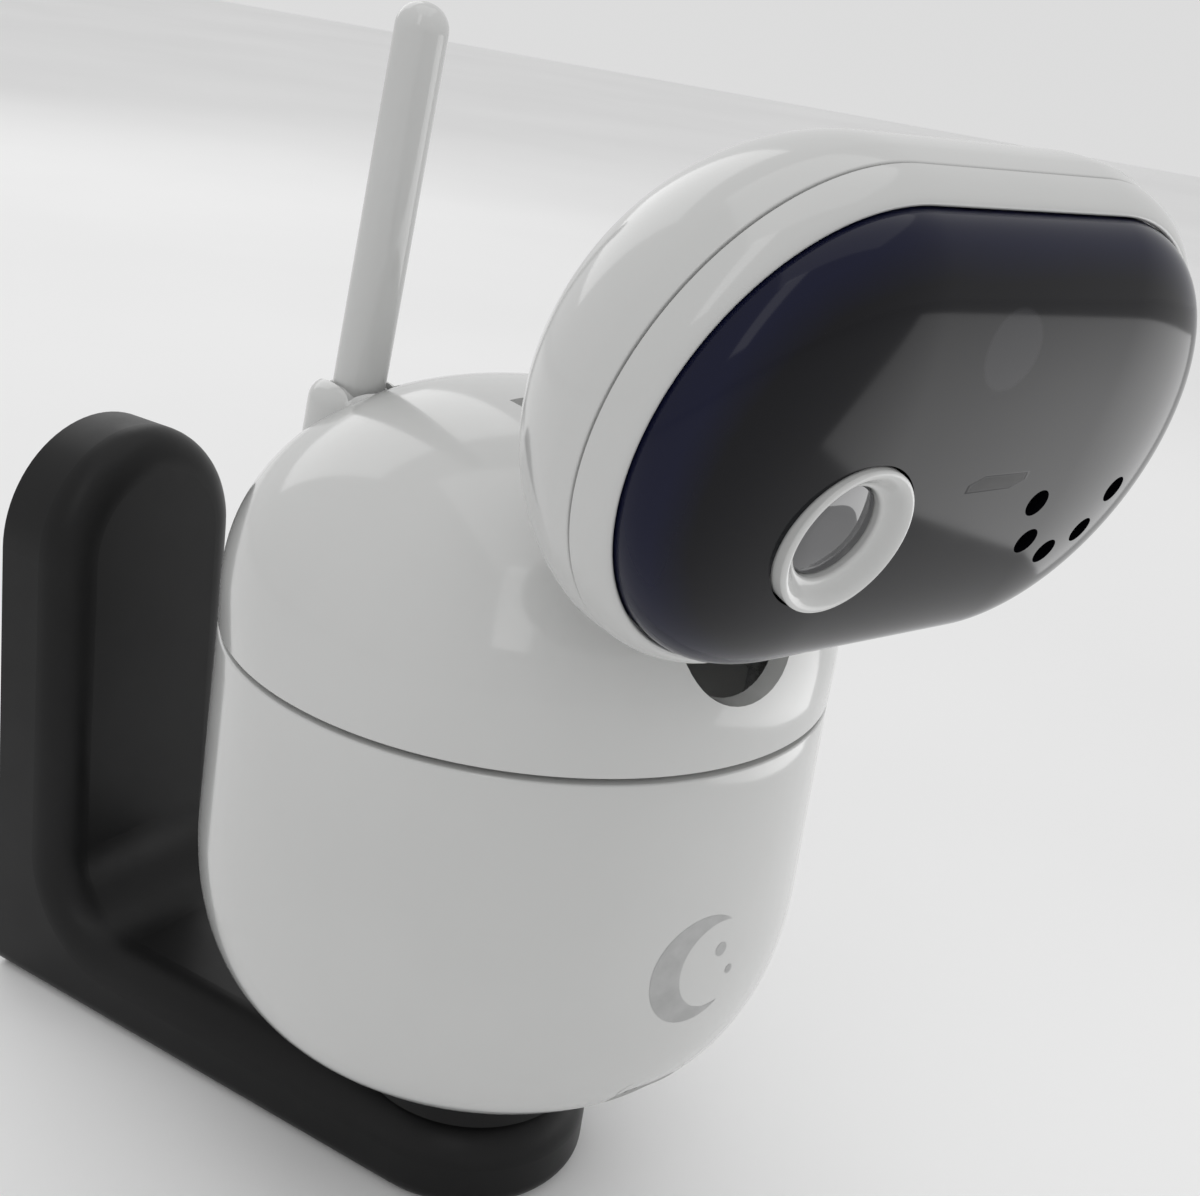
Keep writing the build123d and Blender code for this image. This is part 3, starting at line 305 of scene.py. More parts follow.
# ---------------------------------------------------------------- materials
class Surface:
    """A Principled material in object coordinates, with small helpers for its texture nodes."""

    def __init__(self, name, roughness, metallic=0.0, **sockets):
        self.material = bpy.data.materials.new(name)
        self.material.use_nodes = True
        self.tree = self.material.node_tree
        self.shader = self.tree.nodes["Principled BSDF"]
        self.shader.inputs["Roughness"].default_value = roughness
        self.shader.inputs["Metallic"].default_value = metallic
        for socket, value in sockets.items():
            self.shader.inputs[socket.replace("_", " ")].default_value = value
        self.place = self.tree.nodes.new("ShaderNodeTexCoord").outputs["Object"]

    def node(self, kind, **inputs):
        """New node with constants for its named inputs."""
        node = self.tree.nodes.new(kind)
        for name, value in inputs.items():
            node.inputs[name.replace("_", " ")].default_value = value
        return node

    def link(self, output, target):
        self.tree.links.new(output, target)

    def noise(self, scale, detail, rough=0.5, stretch=None):
        """Noise, scaled along the axes when stretch is given."""
        node = self.node("ShaderNodeTexNoise", Scale=scale, Detail=detail, Roughness=rough)
        place = self.place
        if stretch:
            mapping = self.node("ShaderNodeMapping", Scale=stretch)
            self.link(self.place, mapping.inputs["Vector"])
            place = mapping.outputs["Vector"]
        self.link(place, node.inputs["Vector"])
        return node.outputs["Fac"]

    def ramp(self, source, stops):
        """Colours between (position, colour) stops."""
        node = self.node("ShaderNodeValToRGB")
        elements = node.color_ramp.elements
        while len(elements) < len(stops):
            elements.new(0.5)
        for element, (position, colour) in zip(elements, stops):
            element.position = position
            element.color = (*colour, 1.0)
        self.link(source, node.inputs["Fac"])
        return node.outputs["Color"]

    def spread(self, source, low, high, start=0.3, end=0.7):
        """Source carried from start..end, the usual reach of a noise, to low..high."""
        node = self.node("ShaderNodeMapRange", From_Min=start, From_Max=end, To_Min=low, To_Max=high)
        self.link(source, node.inputs["Value"])
        return node.outputs["Result"]

    def colour(self, output):
        self.link(output, self.shader.inputs["Base Color"])

    def rough(self, output):
        self.link(output, self.shader.inputs["Roughness"])

    def bump(self, output, height):
        node = self.node("ShaderNodeBump", Distance=height, Strength=1.0)
        self.link(output, node.inputs["Height"])
        self.link(node.outputs["Normal"], self.shader.inputs["Normal"])


def plastic(name, dark, light, rough_low, rough_high, tone_scale=18, grain_scale=2600, grain=2e-6,
            **sockets):
    """Moulded plastic: faint tone drift, uneven polish and a fine surface texture."""
    surface = Surface(name, (rough_low + rough_high) / 2, **sockets)
    surface.colour(surface.ramp(surface.noise(tone_scale, 4), [(0.35, dark), (0.65, light)]))
    surface.rough(surface.spread(surface.noise(tone_scale * 7, 5, 0.6), rough_low, rough_high))
    surface.bump(surface.noise(grain_scale, 2), grain)
    return surface


def metal(name, dark, light, rough_low, rough_high, stretch):
    """Metal with fine drawn lines and patches of duller finish."""
    surface = Surface(name, (rough_low + rough_high) / 2, metallic=1.0)
    surface.colour(surface.ramp(surface.noise(260, 5), [(0.3, dark), (0.7, light)]))
    surface.rough(surface.spread(surface.noise(900, 4, 0.6, stretch), rough_low, rough_high))
    surface.bump(surface.noise(2200, 3, 0.5, stretch), 4e-6)
    return surface


white = plastic("white gloss ABS", (0.55, 0.553, 0.546), (0.59, 0.592, 0.586), 0.10, 0.17,
                grain_scale=420, grain=1.2e-6, Coat_Weight=0.35, Coat_Roughness=0.04)
white_soft = plastic("white inner plastic", (0.66, 0.665, 0.65), (0.74, 0.74, 0.73), 0.38, 0.52, grain=5e-6)
bracket_black = plastic("black satin bracket", (0.006, 0.006, 0.0062), (0.010, 0.010, 0.0103), 0.34, 0.44,
                        grain_scale=5200, grain=9e-6, IOR=1.3)
dark_grey = plastic("dark grey plastic", (0.045, 0.045, 0.048), (0.07, 0.07, 0.073), 0.42, 0.58, grain=7e-6)
sensor_dark = plastic("smoked window", (0.010, 0.010, 0.013), (0.016, 0.016, 0.02), 0.10, 0.2, grain=1e-6)
gear_white = plastic("acetal gears", (0.70, 0.68, 0.60), (0.78, 0.76, 0.68), 0.30, 0.42, grain=4e-6)
rubber = plastic("black rubber", (0.02, 0.02, 0.02), (0.035, 0.035, 0.034), 0.62, 0.8, grain=1.4e-5)
led_clear = plastic("clear emitter", (0.38, 0.36, 0.42), (0.5, 0.48, 0.55), 0.06, 0.12, grain=1e-6)
grille_grey = plastic("grey grille", (0.30, 0.30, 0.295), (0.40, 0.40, 0.39), 0.34, 0.5, grain=8e-6)
mark_grey = plastic("grey printed mark", (0.36, 0.362, 0.36), (0.43, 0.432, 0.43), 0.30, 0.40,
                    tone_scale=300, grain=2e-6)
steel = metal("zinc plated steel", (0.50, 0.50, 0.51), (0.66, 0.66, 0.68), 0.20, 0.40, (1, 1, 9))
brass = metal("brass", (0.66, 0.47, 0.18), (0.80, 0.60, 0.28), 0.20, 0.36, (1, 1, 8))


def board_material():
    """Green solder mask with a faint fibre weave and paler copper areas."""
    surface = Surface("circuit board", 0.3)
    surface.colour(surface.ramp(surface.noise(900, 2, 0.4, (1, 1, 0.4)),
                                [(0.48, (0.012, 0.085, 0.035)), (0.52, (0.025, 0.15, 0.06))]))
    surface.rough(surface.spread(surface.noise(1500, 4), 0.22, 0.4))
    surface.bump(surface.noise(4000, 2), 5e-6)
    return surface


RIM_DRIFT = 0.12
WINDOW_INNER_R = 3.5 * MM
WINDOW_OUTER_R = 3.9 * MM
WINDOW_SHARE = 0.6


def panel_material():
    """Smoked gloss panel: near black, with a painted navy reflection towards the rim and a faint round
    window.
    """
    surface = Surface("smoked gloss panel", 0.1, IOR=1.3)
    rim_share = surface.node("ShaderNodeAttribute")
    rim_share.attribute_name = "rim"
    drifting = surface.node("ShaderNodeMath")
    drifting.operation = "MULTIPLY_ADD"
    drifting.inputs[1].default_value = RIM_DRIFT
    surface.link(surface.noise(60, 4), drifting.inputs[0])
    surface.link(rim_share.outputs["Fac"], drifting.inputs[2])
    # The last stop is a painted navy reflection, laid on where the drifting share nears the rim.
    smoke_and_rim_reflection = surface.ramp(drifting.outputs["Value"], [
        (0.0, (0.003, 0.003, 0.004)), (0.88, (0.003, 0.003, 0.005)), (1.0, (0.004, 0.005, 0.022))])
    away = surface.node("ShaderNodeVectorMath")
    away.operation = "DISTANCE"
    away.inputs[1].default_value = FACE @ (SENSOR + Vector((0, 0, CROWN - 1.5 * MM)))
    surface.link(surface.place, away.inputs[0])
    window = surface.spread(away.outputs["Value"], WINDOW_SHARE, 0.0, WINDOW_INNER_R, WINDOW_OUTER_R)
    tint = surface.node("ShaderNodeMix")
    tint.data_type = "RGBA"
    factor, first, second, mixed = tint.inputs[0], tint.inputs[6], tint.inputs[7], tint.outputs[2]
    surface.link(window, factor)
    surface.link(smoke_and_rim_reflection, first)
    second.default_value = (0.03, 0.03, 0.034, 1.0)
    surface.colour(mixed)
    surface.rough(surface.spread(surface.noise(140, 5), 0.085, 0.12))
    return surface


def glass_material():
    """Dark coated lens glass with a faint violet cast."""
    surface = Surface("coated lens glass", 0.04, Coat_Weight=1.0, Coat_Roughness=0.01, IOR=1.6)
    surface.colour(surface.ramp(surface.noise(220, 3),
                                [(0.3, (0.018, 0.018, 0.021)), (0.7, (0.030, 0.030, 0.035))]))
    surface.rough(surface.spread(surface.noise(500, 4), 0.03, 0.08))
    return surface


board = board_material()
panel_gloss = panel_material()
lens_glass = glass_material()

SLOT_LOOKS = {
    "white_gloss": white, "white_inner": white_soft, "black_bracket": bracket_black,
    "dark_inner": dark_grey, "panel": panel_gloss, "lens_glass": lens_glass,
    "sensor_dark": sensor_dark, "board": board, "gear": gear_white, "steel": steel,
    "brass": brass, "rubber": rubber, "led": led_clear, "grille": grille_grey,
}
for subpart in frame["record"]["subparts"]:
    cad_mesh = frame["nodes"][subpart["node"]].data
    cad_mesh.materials.clear()
    cad_mesh.materials.append(SLOT_LOOKS[subpart["material_slot"]].material)


# ---------------------------------------------------------------- base housing
BELLY_PULL = 1.4
BASE_PULL = 0.62


def base_profile(inset, steps=30):
    """Base wall from the rim down to the foot, (radius, z)."""
    side_r = BODY_R - inset
    foot_r = FOOT_R - inset / 2
    low = -BASE_H + inset
    bend = (side_r + BELLY, BASE_BEND_Z)
    return [bend] + bezier(
        bend,
        (side_r + BELLY_PULL * BELLY, BASE_BEND_Z + BASE_PULL * (low - BASE_BEND_Z)),
        (foot_r + BASE_PULL * (side_r - foot_r), low),
        (foot_r, low), steps)


def base_radius(z):
    """Outside radius of the base at a height."""
    if z >= BASE_BEND_Z:
        return BODY_R + BELLY * (-SEAM_HALF - z) / (-SEAM_HALF - BASE_BEND_Z)
    wall = base_profile(0)
    for (r0, z0), (r1, z1) in zip(wall, wall[1:]):
        if z1 <= z <= z0:
            return r0 + (r1 - r0) * (z0 - z) / (z0 - z1)
    return FOOT_R


RIM_ROUND = 0.3 * MM
WALL_STEPS = 8
FLOOR_HOLE_R = 17.2 * MM
FLOOR_RIM_Z = -BASE_H + 2 * MM
FLOOR_STEP_R = 13 * MM
FLOOR_TOP_Z = -BASE_H + 4.5 * MM
AROUND_BODY = circle_stations(200)
base_outline = corner((BODY_R - RIM_ROUND, -SEAM_HALF - RIM_ROUND), RIM_ROUND, 90, 0)
base_outline += [(BODY_R + BELLY * k / WALL_STEPS, BASE_BEND_Z * k / WALL_STEPS)
                 for k in range(1, WALL_STEPS)]
base_outline += base_profile(0)
base_outline += [(FLOOR_HOLE_R, -BASE_H), (FLOOR_HOLE_R, FLOOR_RIM_Z), (FLOOR_STEP_R, FLOOR_RIM_Z),
                 (FLOOR_STEP_R, FLOOR_TOP_Z)]
base_outline += base_profile(SHELL)[::-1]
base_outline += [(BODY_R - SHELL, -SEAM_HALF)]
base = sweep("base_casing", base_outline, AROUND_BODY, SEAT)

BUTTON_Z = -17.5 * MM
BUTTON_CUT_R = 3.8 * MM
SOCKET_Z = -30 * MM
SOCKET_W = 10 * MM
SOCKET_H = 4 * MM
REAR_DEPTHS = (-6 * MM, 3 * MM)
REAR = (SEAT @ Matrix.Translation((0, BODY_R, 0))
        @ Matrix.Rotation(math.pi / 2, 4, "X") @ Matrix.Rotation(math.pi, 4, "Y"))
button_cut = cutter(circle(BUTTON_CUT_R, 48, 0, BUTTON_Z), *REAR_DEPTHS, REAR)
socket_cut = cutter(stadium(SOCKET_W, SOCKET_H, SOCKET_Z), *REAR_DEPTHS, REAR)

# The grille lies on the base's lower curve, square to it.
GRILLE_W = 10 * MM
GRILLE_H = 5 * MM
GRILLE_GAP = 0.2 * MM
GRILLE_DEPTHS = (-1.2 * MM, 3 * MM)
GRILLE_ALONG = 0.55
GRILLE_STEPS = 100
grille_points = [Vector((0, -r, z)) for r, z in base_profile(0, GRILLE_STEPS)]
grille_index = round(GRILLE_ALONG * GRILLE_STEPS)
grille_centre = grille_points[grille_index]
grille_tangent = (grille_points[grille_index + 1] - grille_points[grille_index - 1]).normalized()
grille_normal = Vector((0, grille_tangent.z, -grille_tangent.y))
grille_up = grille_normal.cross(Vector((1, 0, 0)))
GRILLE = SEAT @ Matrix((
    (1, grille_up.x, grille_normal.x, grille_centre.x),
    (0, grille_up.y, grille_normal.y, grille_centre.y),
    (0, grille_up.z, grille_normal.z, grille_centre.z),
    (0, 0, 0, 1)))
grille_cut = cutter(stadium(GRILLE_W + GRILLE_GAP, GRILLE_H + GRILLE_GAP), *GRILLE_DEPTHS, GRILLE)
cut(base, button_cut, socket_cut, grille_cut)
piece(base, white, "base", "white_gloss", "base_housing")


# ---------------------------------------------------------------- turret
DOME_SIDE_PULL = 0.56
DOME_TOP_PULL = 0.62


def dome_profile(inset, steps=36):
    """Turret wall from its lower rim up to the top of the dome, (radius, z)."""
    side_r = BODY_R - inset
    top = DOME_H - inset
    start = (side_r, DOME_SIDE_Z)
    return [start] + bezier(
        start,
        (side_r, DOME_SIDE_Z + DOME_SIDE_PULL * (top - DOME_SIDE_Z)),
        (DOME_TOP_PULL * side_r, top),
        (0.0, top), steps)


SKIRT_R = 34.8 * MM
SKIRT_T = 1.8 * MM
SKIRT_LOW = -5.5 * MM
LEDGE_Z = 2.5 * MM
turret_outline = [(SKIRT_R - SKIRT_T, SKIRT_LOW), (SKIRT_R, SKIRT_LOW), (SKIRT_R, SEAM_HALF)]
turret_outline += corner((BODY_R - RIM_ROUND, SEAM_HALF + RIM_ROUND), RIM_ROUND, -90, 0)
turret_outline += dome_profile(0)
turret_outline += dome_profile(SHELL)[::-1]
turret_outline += [(BODY_R - SHELL, LEDGE_Z), (SKIRT_R - SKIRT_T, LEDGE_Z)]
turret = sweep("turret_dome", turret_outline, AROUND_BODY, SEAT)

SLOT_BACK_Y = -1 * MM
BEYOND_DOME = 50 * MM
FRONT = SEAT @ Matrix.Rotation(math.pi / 2, 4, "X")
slot_outline = corner((0, SLOT_LOW_Z + SLOT_W / 2), SLOT_W / 2, 180, 360, 24)
slot_outline += [(SLOT_W / 2, BEYOND_DOME), (-SLOT_W / 2, BEYOND_DOME)]
slot_cut = cutter(slot_outline, -SLOT_BACK_Y, BEYOND_DOME, FRONT)

KNUCKLE_R = 3.3 * MM
HINGE_HALF = 3.6 * MM
HINGE_ROOM_R = 3.8 * MM
HINGE_ROOM_H = 14 * MM
FOLD = 35
HINGE_SIDE = ANTENNA_SEAT @ Matrix(((0, 0, 1, 0), (1, 0, 0, 0), (0, 1, 0, 0), (0, 0, 0, 1)))


def hinge_cut():
    """Room for the antenna's knuckle and its sweep, seen from the side: y to the back, z up."""
    outline = corner((0, 0), HINGE_ROOM_R, 180 + ANTENNA_LEAN, 360 - FOLD, 24)
    back_lean = math.radians(FOLD)
    outline.append((HINGE_ROOM_R * math.cos(back_lean) + HINGE_ROOM_H * math.sin(back_lean),
                    -HINGE_ROOM_R * math.sin(back_lean) + HINGE_ROOM_H * math.cos(back_lean)))
    front_lean = math.radians(ANTENNA_LEAN)
    outline.append((-HINGE_ROOM_R * math.cos(front_lean) - HINGE_ROOM_H * math.sin(front_lean),
                    -HINGE_ROOM_R * math.sin(front_lean) + HINGE_ROOM_H * math.cos(front_lean)))
    return cutter(outline, -HINGE_HALF, HINGE_HALF, HINGE_SIDE)


cut(turret, slot_cut, hinge_cut())
piece(turret, white, "turret", "white_gloss", "turret_shell")

BOSS_W = 11.8 * MM
BOSS_D = 10.8 * MM
BOSS_CORNER = 5.2 * MM
BOSS_SUNK = 6 * MM
BOSS_TOP = 3.1 * MM
BOSS_ROUND = 2.6 * MM


def antenna_boss():
    """Low boss on the dome: a rounded rectangle with a soft top edge."""
    levels = [(-BOSS_SUNK, -0.5 * MM), (BOSS_TOP - BOSS_ROUND, 0.0)]
    levels += [(BOSS_TOP - BOSS_ROUND + BOSS_ROUND * math.sin(math.radians(a)),
                BOSS_ROUND * (1 - math.cos(math.radians(a)))) for a in range(15, 91, 15)]
    return loft("antenna_boss_cover", [
        (z, rounded_rect(BOSS_W - 2 * inset, BOSS_D - 2 * inset, BOSS_CORNER - inset, 12))
        for z, inset in levels], ANTENNA_SEAT)


boss = cut(antenna_boss(), hinge_cut())
piece(boss, white, "turret", "white_gloss")


# ---------------------------------------------------------------- antenna
ROD_ROOT = 1.0 * MM
ROD_TAPER = 0.2 * MM
ROD_FLAT = 0.2 * MM
ROD_CAP = 2.9 * MM
ROD_STEPS = 14


def antenna():
    """Slim rod that tapers a little and ends in a round cap."""
    cap_z = ANTENNA_LEN - ROD_CAP
    levels = [(ROD_ROOT + (cap_z - ROD_ROOT) * k / ROD_STEPS, ROD_TAPER * k / ROD_STEPS)
              for k in range(ROD_STEPS + 1)]
    levels += [(cap_z + ROD_CAP * math.sin(math.radians(a)),
                ROD_TAPER + ROD_CAP * (1 - math.cos(math.radians(a)))) for a in range(6, 85, 6)]
    sections = []
    for z, inset in levels:
        width = ANTENNA_W - 2 * inset
        depth = ANTENNA_D - 2 * inset
        radius = max(ROD_FLAT, min(width, depth) / 2 - ROD_FLAT)
        sections.append((z, rounded_rect(width, depth, radius, 10)))
    return smooth(loft("antenna_blade", sections, ANTENNA_ROD), 50)


antenna_rod = antenna()
KNUCKLE_HALF = ANTENNA_W / 2
KNUCKLE_ROUND = 0.4 * MM
PIN_HOLE_R = 1.06 * MM
knuckle_outline = [(PIN_HOLE_R, -KNUCKLE_HALF)]
knuckle_outline += corner((KNUCKLE_R - KNUCKLE_ROUND, -KNUCKLE_HALF + KNUCKLE_ROUND), KNUCKLE_ROUND, -90, 0)
knuckle_outline += corner((KNUCKLE_R - KNUCKLE_ROUND, KNUCKLE_HALF - KNUCKLE_ROUND), KNUCKLE_ROUND, 0, 90)
knuckle_outline += [(PIN_HOLE_R, KNUCKLE_HALF)]
knuckle = smooth(sweep("antenna_knuckle", knuckle_outline, circle_stations(64), HINGE_SIDE))
piece(antenna_rod, white, "antenna", "white_gloss", "antenna_rod")
piece(knuckle, white, "antenna", "white_gloss")


# ---------------------------------------------------------------- head
HEAD_GAP = 0.12 * MM
HEAD_FRONT = BEZEL_SEAM + HEAD_GAP
ROUND_PULL = 0.552


def head_profile(inset, steps=30):
    """Head wall from its front edge round to the middle of the back, (radius, out)."""
    max_r = HEAD_R - inset
    seam_r = HEAD_SEAM_R - inset
    back = HEAD_DEPTH - inset
    curve = bezier((max_r, -HEAD_MID), (max_r, -HEAD_MID - ROUND_PULL * (back - HEAD_MID)),
                   (ROUND_PULL * max_r, -back), (0.0, -back), steps)
    return [(seam_r + (max_r - seam_r) * (HEAD_FRONT - BEZEL_SEAM) / (HEAD_MID - BEZEL_SEAM), -HEAD_FRONT),
            (max_r, -HEAD_MID)] + curve


def parted(points, depth):
    """The runs of a head profile in front of a depth and behind it, both ending exactly on it."""
    for k, ((r0, h0), (r1, h1)) in enumerate(zip(points, points[1:])):
        if h1 <= -depth:
            share = (-depth - h0) / (h1 - h0)
            meeting = (r0 + (r1 - r0) * share, -depth)
            return points[:k + 1] + [meeting], [meeting] + [p for p in points[k + 1:] if p[1] < -depth]


ARM_ANGLE = math.radians(41)
ARM_W = 13 * MM
ARM_T = 10 * MM
TILT_Z = 4 * MM
ARM = SEAT @ Matrix.Translation((0, 0, TILT_Z)) @ Matrix.Rotation(math.pi / 2 - ARM_ANGLE, 4, "X")
ARM_CORNER = 2.4 * MM
ARM_GAP = 0.3 * MM
ARM_HOLE_DEPTHS = (30 * MM, 60 * MM)


def arm_hole():
    return cutter(rounded_rect(ARM_W + ARM_GAP, ARM_T + ARM_GAP, ARM_CORNER), *ARM_HOLE_DEPTHS, ARM)


around_head = pill_stations(HEAD_HALF)
outer_front, _ = parted(head_profile(0), REAR_SEAM - HEAD_GAP)
inner_front, _ = parted(head_profile(HEAD_WALL), REAR_SEAM - HEAD_GAP)
_, outer_back = parted(head_profile(0), REAR_SEAM + HEAD_GAP)
_, inner_back = parted(head_profile(HEAD_WALL), REAR_SEAM + HEAD_GAP)

EDGE_ROUND = 0.2 * MM
BEZEL_ROOM_R = HEAD_R - HEAD_WALL + 0.15 * MM
BEZEL_ROOM_Z = -6.4 * MM
edge_r, edge_z = outer_front[0]
head_outline = corner((edge_r - EDGE_ROUND, edge_z - EDGE_ROUND), EDGE_ROUND, 90, 0, 3)
head_outline += outer_front[1:] + inner_front[1:][::-1]
head_outline += [(BEZEL_ROOM_R, BEZEL_ROOM_Z), (BEZEL_ROOM_R, -HEAD_FRONT)]
head_shell = sweep("head_casing", head_outline, around_head, FACE)
cut(head_shell, arm_hole())
piece(head_shell, white, "head", "white_gloss", "head_shell")

rear_cap = sweep("head_back", outer_back + inner_back[::-1], around_head, FACE)
cut(rear_cap, arm_hole())
piece(rear_cap, white, "head", "white_gloss", "head_rear_cap")

BEZEL_EDGE = 0.3 * MM
BEZEL_CHAMFER = 0.15 * MM
BEZEL_BACK_Z = -6 * MM
BEZEL_LEDGE_R = PANEL_R - 1 * MM
BEZEL_LEDGE_Z = -1.25 * MM
PANEL_ROOM_R = PANEL_R + 0.12 * MM
BEZEL_SEAM_Z = -BEZEL_SEAM + HEAD_GAP
bezel_outline = [(PANEL_ROOM_R, BEZEL_LEDGE_Z), (PANEL_ROOM_R, 0.35 * MM)]
bezel_outline += corner((PANEL_R + 0.42 * MM, 0.4 * MM), BEZEL_EDGE, 180, 60, 4)
bezel_outline += bezier(
    bezel_outline[-1], (PANEL_R + 1.5 * MM, 0.2 * MM),
    (HEAD_SEAM_R - 0.25 * MM, -1.0 * MM), (HEAD_SEAM_R, BEZEL_SEAM_Z + BEZEL_CHAMFER), 12)
bezel_outline += [(HEAD_SEAM_R - BEZEL_CHAMFER, BEZEL_SEAM_Z), (HEAD_R - HEAD_WALL, BEZEL_SEAM_Z),
                  (HEAD_R - HEAD_WALL, BEZEL_BACK_Z), (BEZEL_LEDGE_R, BEZEL_BACK_Z),
                  (BEZEL_LEDGE_R, BEZEL_LEDGE_Z)]
bezel = smooth(sweep("head_front_ring", bezel_outline, around_head, FACE), 38)
piece(bezel, white, "head", "white_gloss", "head_bezel")

PANEL_BACK_Z = -1.2 * MM
PANEL_SIDE_Z = 0.4 * MM
PANEL_TOP_Z = CROWN - 0.02 * MM
PANEL_DEPTHS = (-2 * MM, 14 * MM)
LENS_CUT_R = 7.65 * MM
panel_outline = [(PANEL_R, PANEL_BACK_Z), (PANEL_R, PANEL_SIDE_Z)]
panel_outline += bezier((PANEL_R, PANEL_SIDE_Z), (PANEL_R, 5.6 * MM), (0.64 * PANEL_R, PANEL_TOP_Z),
                        (0.0, PANEL_TOP_Z), 44)
panel_outline += [(0.0, CROWN - 2.4 * MM), (0.6 * PANEL_R, CROWN - 3 * MM), (0.84 * PANEL_R, 3 * MM),
                  (PANEL_R - 1.6 * MM, PANEL_BACK_Z)]
panel = sweep("smoked_panel", panel_outline, around_head, FACE)
lens_cut = cutter(circle(LENS_CUT_R, 72, LENS.x, LENS.y), *PANEL_DEPTHS, FACE)
mic_cuts = [cutter(circle(MIC_HOLE_R, 32, x, y), *PANEL_DEPTHS, FACE)
            for x, y in corner(MIC_ARC, MIC_ARC_R, 180, 360, 4)]
cut(panel, lens_cut, *mic_cuts)

# Share of the way from the panel's middle line to its rim, read by its material to paint a navy reflection
# near the rim.
face_inverse = FACE.inverted()
rim = panel.data.attributes.new("rim", "FLOAT", "POINT")
for index, vertex in enumerate(panel.data.vertices):
    local = face_inverse @ vertex.co
    beside = max(0.0, abs(local.x) - HEAD_HALF)
    rim.data[index].value = math.hypot(beside, local.y) / PANEL_R
piece(panel, panel_gloss, "head", "panel", "face_panel")

RING_R = 7.4 * MM
RING_IN_R = 4.8 * MM
RING_BACK_Z = 1.5 * MM
RING_SIDE_Z = 4.55 * MM
RING_ROUND = 0.35 * MM
RING_IN_ROUND = 0.4 * MM
LENS_PLACE = FACE @ Matrix.Translation(LENS + Vector((0, 0, CROWN - 4.4 * MM)))
ring_outline = [(RING_IN_R, RING_BACK_Z), (RING_R, RING_BACK_Z), (RING_R, RING_SIDE_Z)]
ring_outline += corner((RING_R - RING_ROUND, RING_SIDE_Z), RING_ROUND, 0, 90)
ring_outline += bezier((RING_R - RING_ROUND, 4.9 * MM), (RING_R - 1.1 * MM, 4.88 * MM),
                       (RING_IN_R + 1.1 * MM, 3.7 * MM), (RING_IN_R + 0.35 * MM, 3.35 * MM), 14)
ring_outline += corner((RING_IN_R + RING_IN_ROUND, 2.95 * MM), RING_IN_ROUND, 100, 180)
lens_ring = smooth(sweep("lens_surround", ring_outline, circle_stations(96), LENS_PLACE), 50)
piece(lens_ring, white, "head", "white_gloss", "lens_ring")

GLASS_R = 4.74 * MM
GLASS_ROUND = 0.24 * MM
GLASS_BACK_Z = 1.9 * MM
GLASS_SIDE_Z = 2.35 * MM
window_outline = [(0.0, GLASS_BACK_Z), (GLASS_R, GLASS_BACK_Z), (GLASS_R, GLASS_SIDE_Z)]
window_outline += corner((GLASS_R - GLASS_ROUND, GLASS_SIDE_Z), GLASS_ROUND, 0, 90, 3)
window_outline += [(2.4 * MM, 2.62 * MM), (0.0, 2.65 * MM)]
lens_window = smooth(sweep("lens_front_glass", window_outline, circle_stations(72), LENS_PLACE), 45)
piece(lens_window, lens_glass, "head", "lens_glass", "lens_window")


# ---------------------------------------------------------------- printed moon on the base
def on_base(across, z, lift):
    """Point on the base's front, an arc length across from its middle."""
    radius = base_radius(z) + lift
    angle = across / base_radius(z)
    return Vector((radius * math.sin(angle), -radius * math.cos(angle), z))


MARK_Z = -25.5 * MM
MARK_R = 7 * MM
MARK_LIFT = 0.03 * MM
MARK_WELD = 1e-8


MARK_STEPS = 6
MOON_STEPS = 40
MOON_INNER_X = 0.4 * MARK_R
MOON_INNER_R = 0.816 * MARK_R
MOON_DOTS = ((3.2 * MM, 1.8 * MM, 0.9 * MM), (5.3 * MM, -1.6 * MM, 0.6 * MM))


def printed_patch(bm, left, right):
    """Strip of print between two matching runs of (across, up) points."""
    shares = [k / MARK_STEPS for k in range(MARK_STEPS + 1)]
    rows = [[bm.verts.new(on_base(xa + (xb - xa) * share, MARK_Z + ya + (yb - ya) * share, MARK_LIFT))
             for share in shares] for (xa, ya), (xb, yb) in zip(left, right)]
    for row, following in zip(rows, rows[1:]):
        for k in range(MARK_STEPS):
            bm.faces.new((row[k], row[k + 1], following[k + 1], following[k]))


def printed_mark():
    """Crescent moon with two small dots beside it."""
    bm = bmesh.new()
    printed_patch(bm, corner((0, 0), MARK_R, 52, 308, MOON_STEPS),
                  corner((MOON_INNER_X, 0), MOON_INNER_R, 75, 285, MOON_STEPS))
    for x, y, radius in MOON_DOTS:
        left = corner((x, y), radius, 90, 270, 12)
        printed_patch(bm, left, [(2 * x - a, b) for a, b in left])
    bmesh.ops.remove_doubles(bm, verts=bm.verts, dist=MARK_WELD)
    bmesh.ops.dissolve_degenerate(bm, dist=MARK_WELD, edges=bm.edges)
    return finished(bm, "printed_moon", SEAT)


piece(smooth(printed_mark()), mark_grey, "base", "grille")


# ---------------------------------------------------------------- floor, light and camera
FLOOR_HALF = 3.0
FLOOR_STEPS = 8
FLOOR_Z = CAD_BOUNDS[0][2] - 0.2 * MM
WORLD_STRENGTH = 0.72


def floor():
    """Pale floor just under the lowest point."""
    bm = bmesh.new()
    ticks = [-FLOOR_HALF + 2 * FLOOR_HALF * k / FLOOR_STEPS for k in range(FLOOR_STEPS + 1)]
    grid = [[bm.verts.new((x, y, FLOOR_Z)) for x in ticks] for y in ticks]
    for lower, upper in zip(grid, grid[1:]):
        for i in range(FLOOR_STEPS):
            bm.faces.new((lower[i], lower[i + 1], upper[i + 1], upper[i]))
    obj = finished(bm, "floor")
    surface = Surface("pale floor", 0.8)
    surface.colour(surface.ramp(surface.noise(3, 3), [(0.3, (0.86, 0.86, 0.86)), (0.7, (0.9, 0.9, 0.9))]))
    obj.data.materials.append(surface.material)
    return obj


ground = floor()


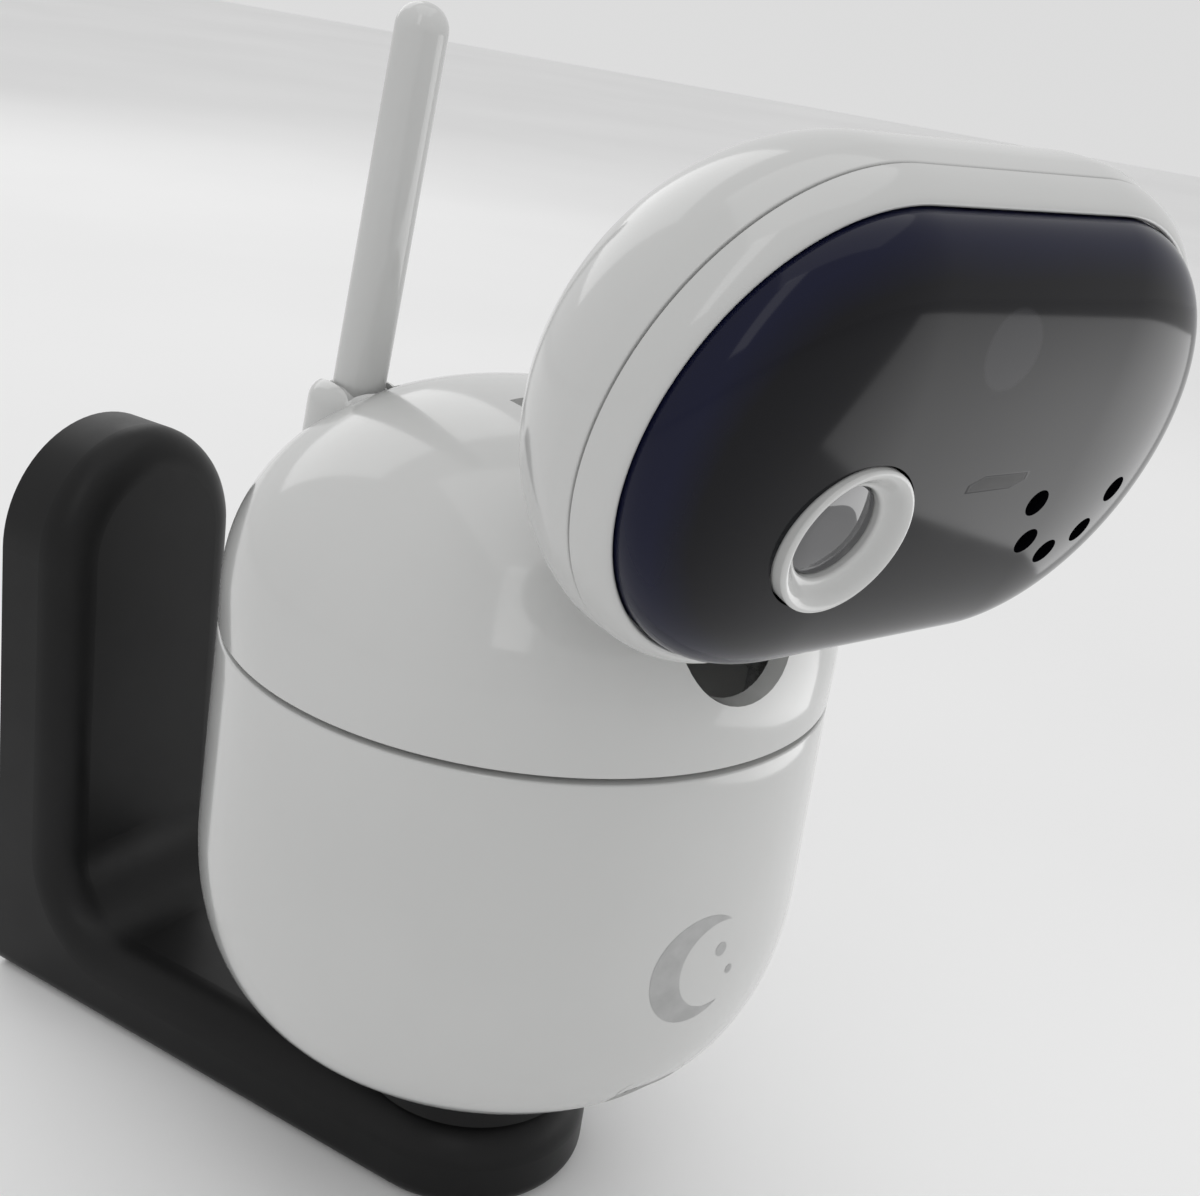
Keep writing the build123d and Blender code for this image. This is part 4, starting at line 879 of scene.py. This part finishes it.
def softbox(name, place, target, width, height, power, spread=math.pi):
    """Rectangular light at a place, turned to its target."""
    light = bpy.data.lights.new(name, "AREA")
    light.shape = "RECTANGLE"
    light.size = width
    light.size_y = height
    light.energy = power
    light.spread = spread
    obj = link_object(name, light)
    obj.location = place
    obj.rotation_euler = (Vector(place) - Vector(target)).to_track_quat("Z", "Y").to_euler()
    return obj


middle = (Vector(CAD_BOUNDS[0]) + Vector(CAD_BOUNDS[1])) / 2
CAMERA_PLACE = Vector((-0.15997, -0.17010, 0.10908))
CAMERA_ANGLES = (-62.05, 20.5, 8.88)
LENS_LENGTH = 47.87
SENSOR_WIDTH = 36
azimuth, elevation, roll = (math.radians(a) for a in CAMERA_ANGLES)
back = Vector((math.sin(azimuth) * math.cos(elevation), -math.cos(azimuth) * math.cos(elevation),
               math.sin(elevation)))
level = Vector((math.cos(azimuth), math.sin(azimuth), 0))
upward = back.cross(level)
right = math.cos(roll) * level + math.sin(roll) * upward
up = math.cos(roll) * upward - math.sin(roll) * level

camera_data = bpy.data.cameras.new("camera")
camera_data.sensor_width = SENSOR_WIDTH
camera_data.lens = LENS_LENGTH
camera_data.clip_start = 0.01
camera = link_object("camera", camera_data)
camera.matrix_world = Matrix((
    (right.x, up.x, back.x, CAMERA_PLACE.x),
    (right.y, up.y, back.y, CAMERA_PLACE.y),
    (right.z, up.z, back.z, CAMERA_PLACE.z),
    (0, 0, 0, 1)))
bpy.context.scene.camera = camera

# The panel mirrors the first softbox towards the camera, as the grey sheen on its lower half.
PANEL_LIGHT_AWAY = 0.20
PANEL_LIGHT_LIFT = Vector((0, 0, 0.03))
panel_middle = FACE @ Vector((6 * MM, 2 * MM, CROWN))
panel_normal = (FACE.to_3x3() @ Vector((0, 0, 1))).normalized()
seen_from = (CAMERA_PLACE - panel_middle).normalized()
mirrored = (2 * panel_normal.dot(seen_from) * panel_normal - seen_from).normalized()
lights = [
    softbox("panel softbox", panel_middle + mirrored * PANEL_LIGHT_AWAY + PANEL_LIGHT_LIFT, panel_middle,
            0.20, 0.11, 0.036, math.radians(110)),
    softbox("key softbox", middle + Vector((-0.75, -0.35, 0.75)), middle, 0.25, 0.9, 0.8),
    softbox("top softbox", middle + Vector((0.1, -0.1, 1.2)), middle, 1.2, 1.2, 2.2),
    softbox("back softbox", middle + Vector((0.5, 0.9, 0.6)), middle, 0.8, 0.8, 1.4),
]

world = bpy.data.worlds.new("studio")
world.use_nodes = True
background = world.node_tree.nodes["Background"]
background.inputs["Color"].default_value = (1, 1, 1, 1)
background.inputs["Strength"].default_value = WORLD_STRENGTH
bpy.context.scene.world = world
bpy.context.scene.view_settings.view_transform = "Standard"
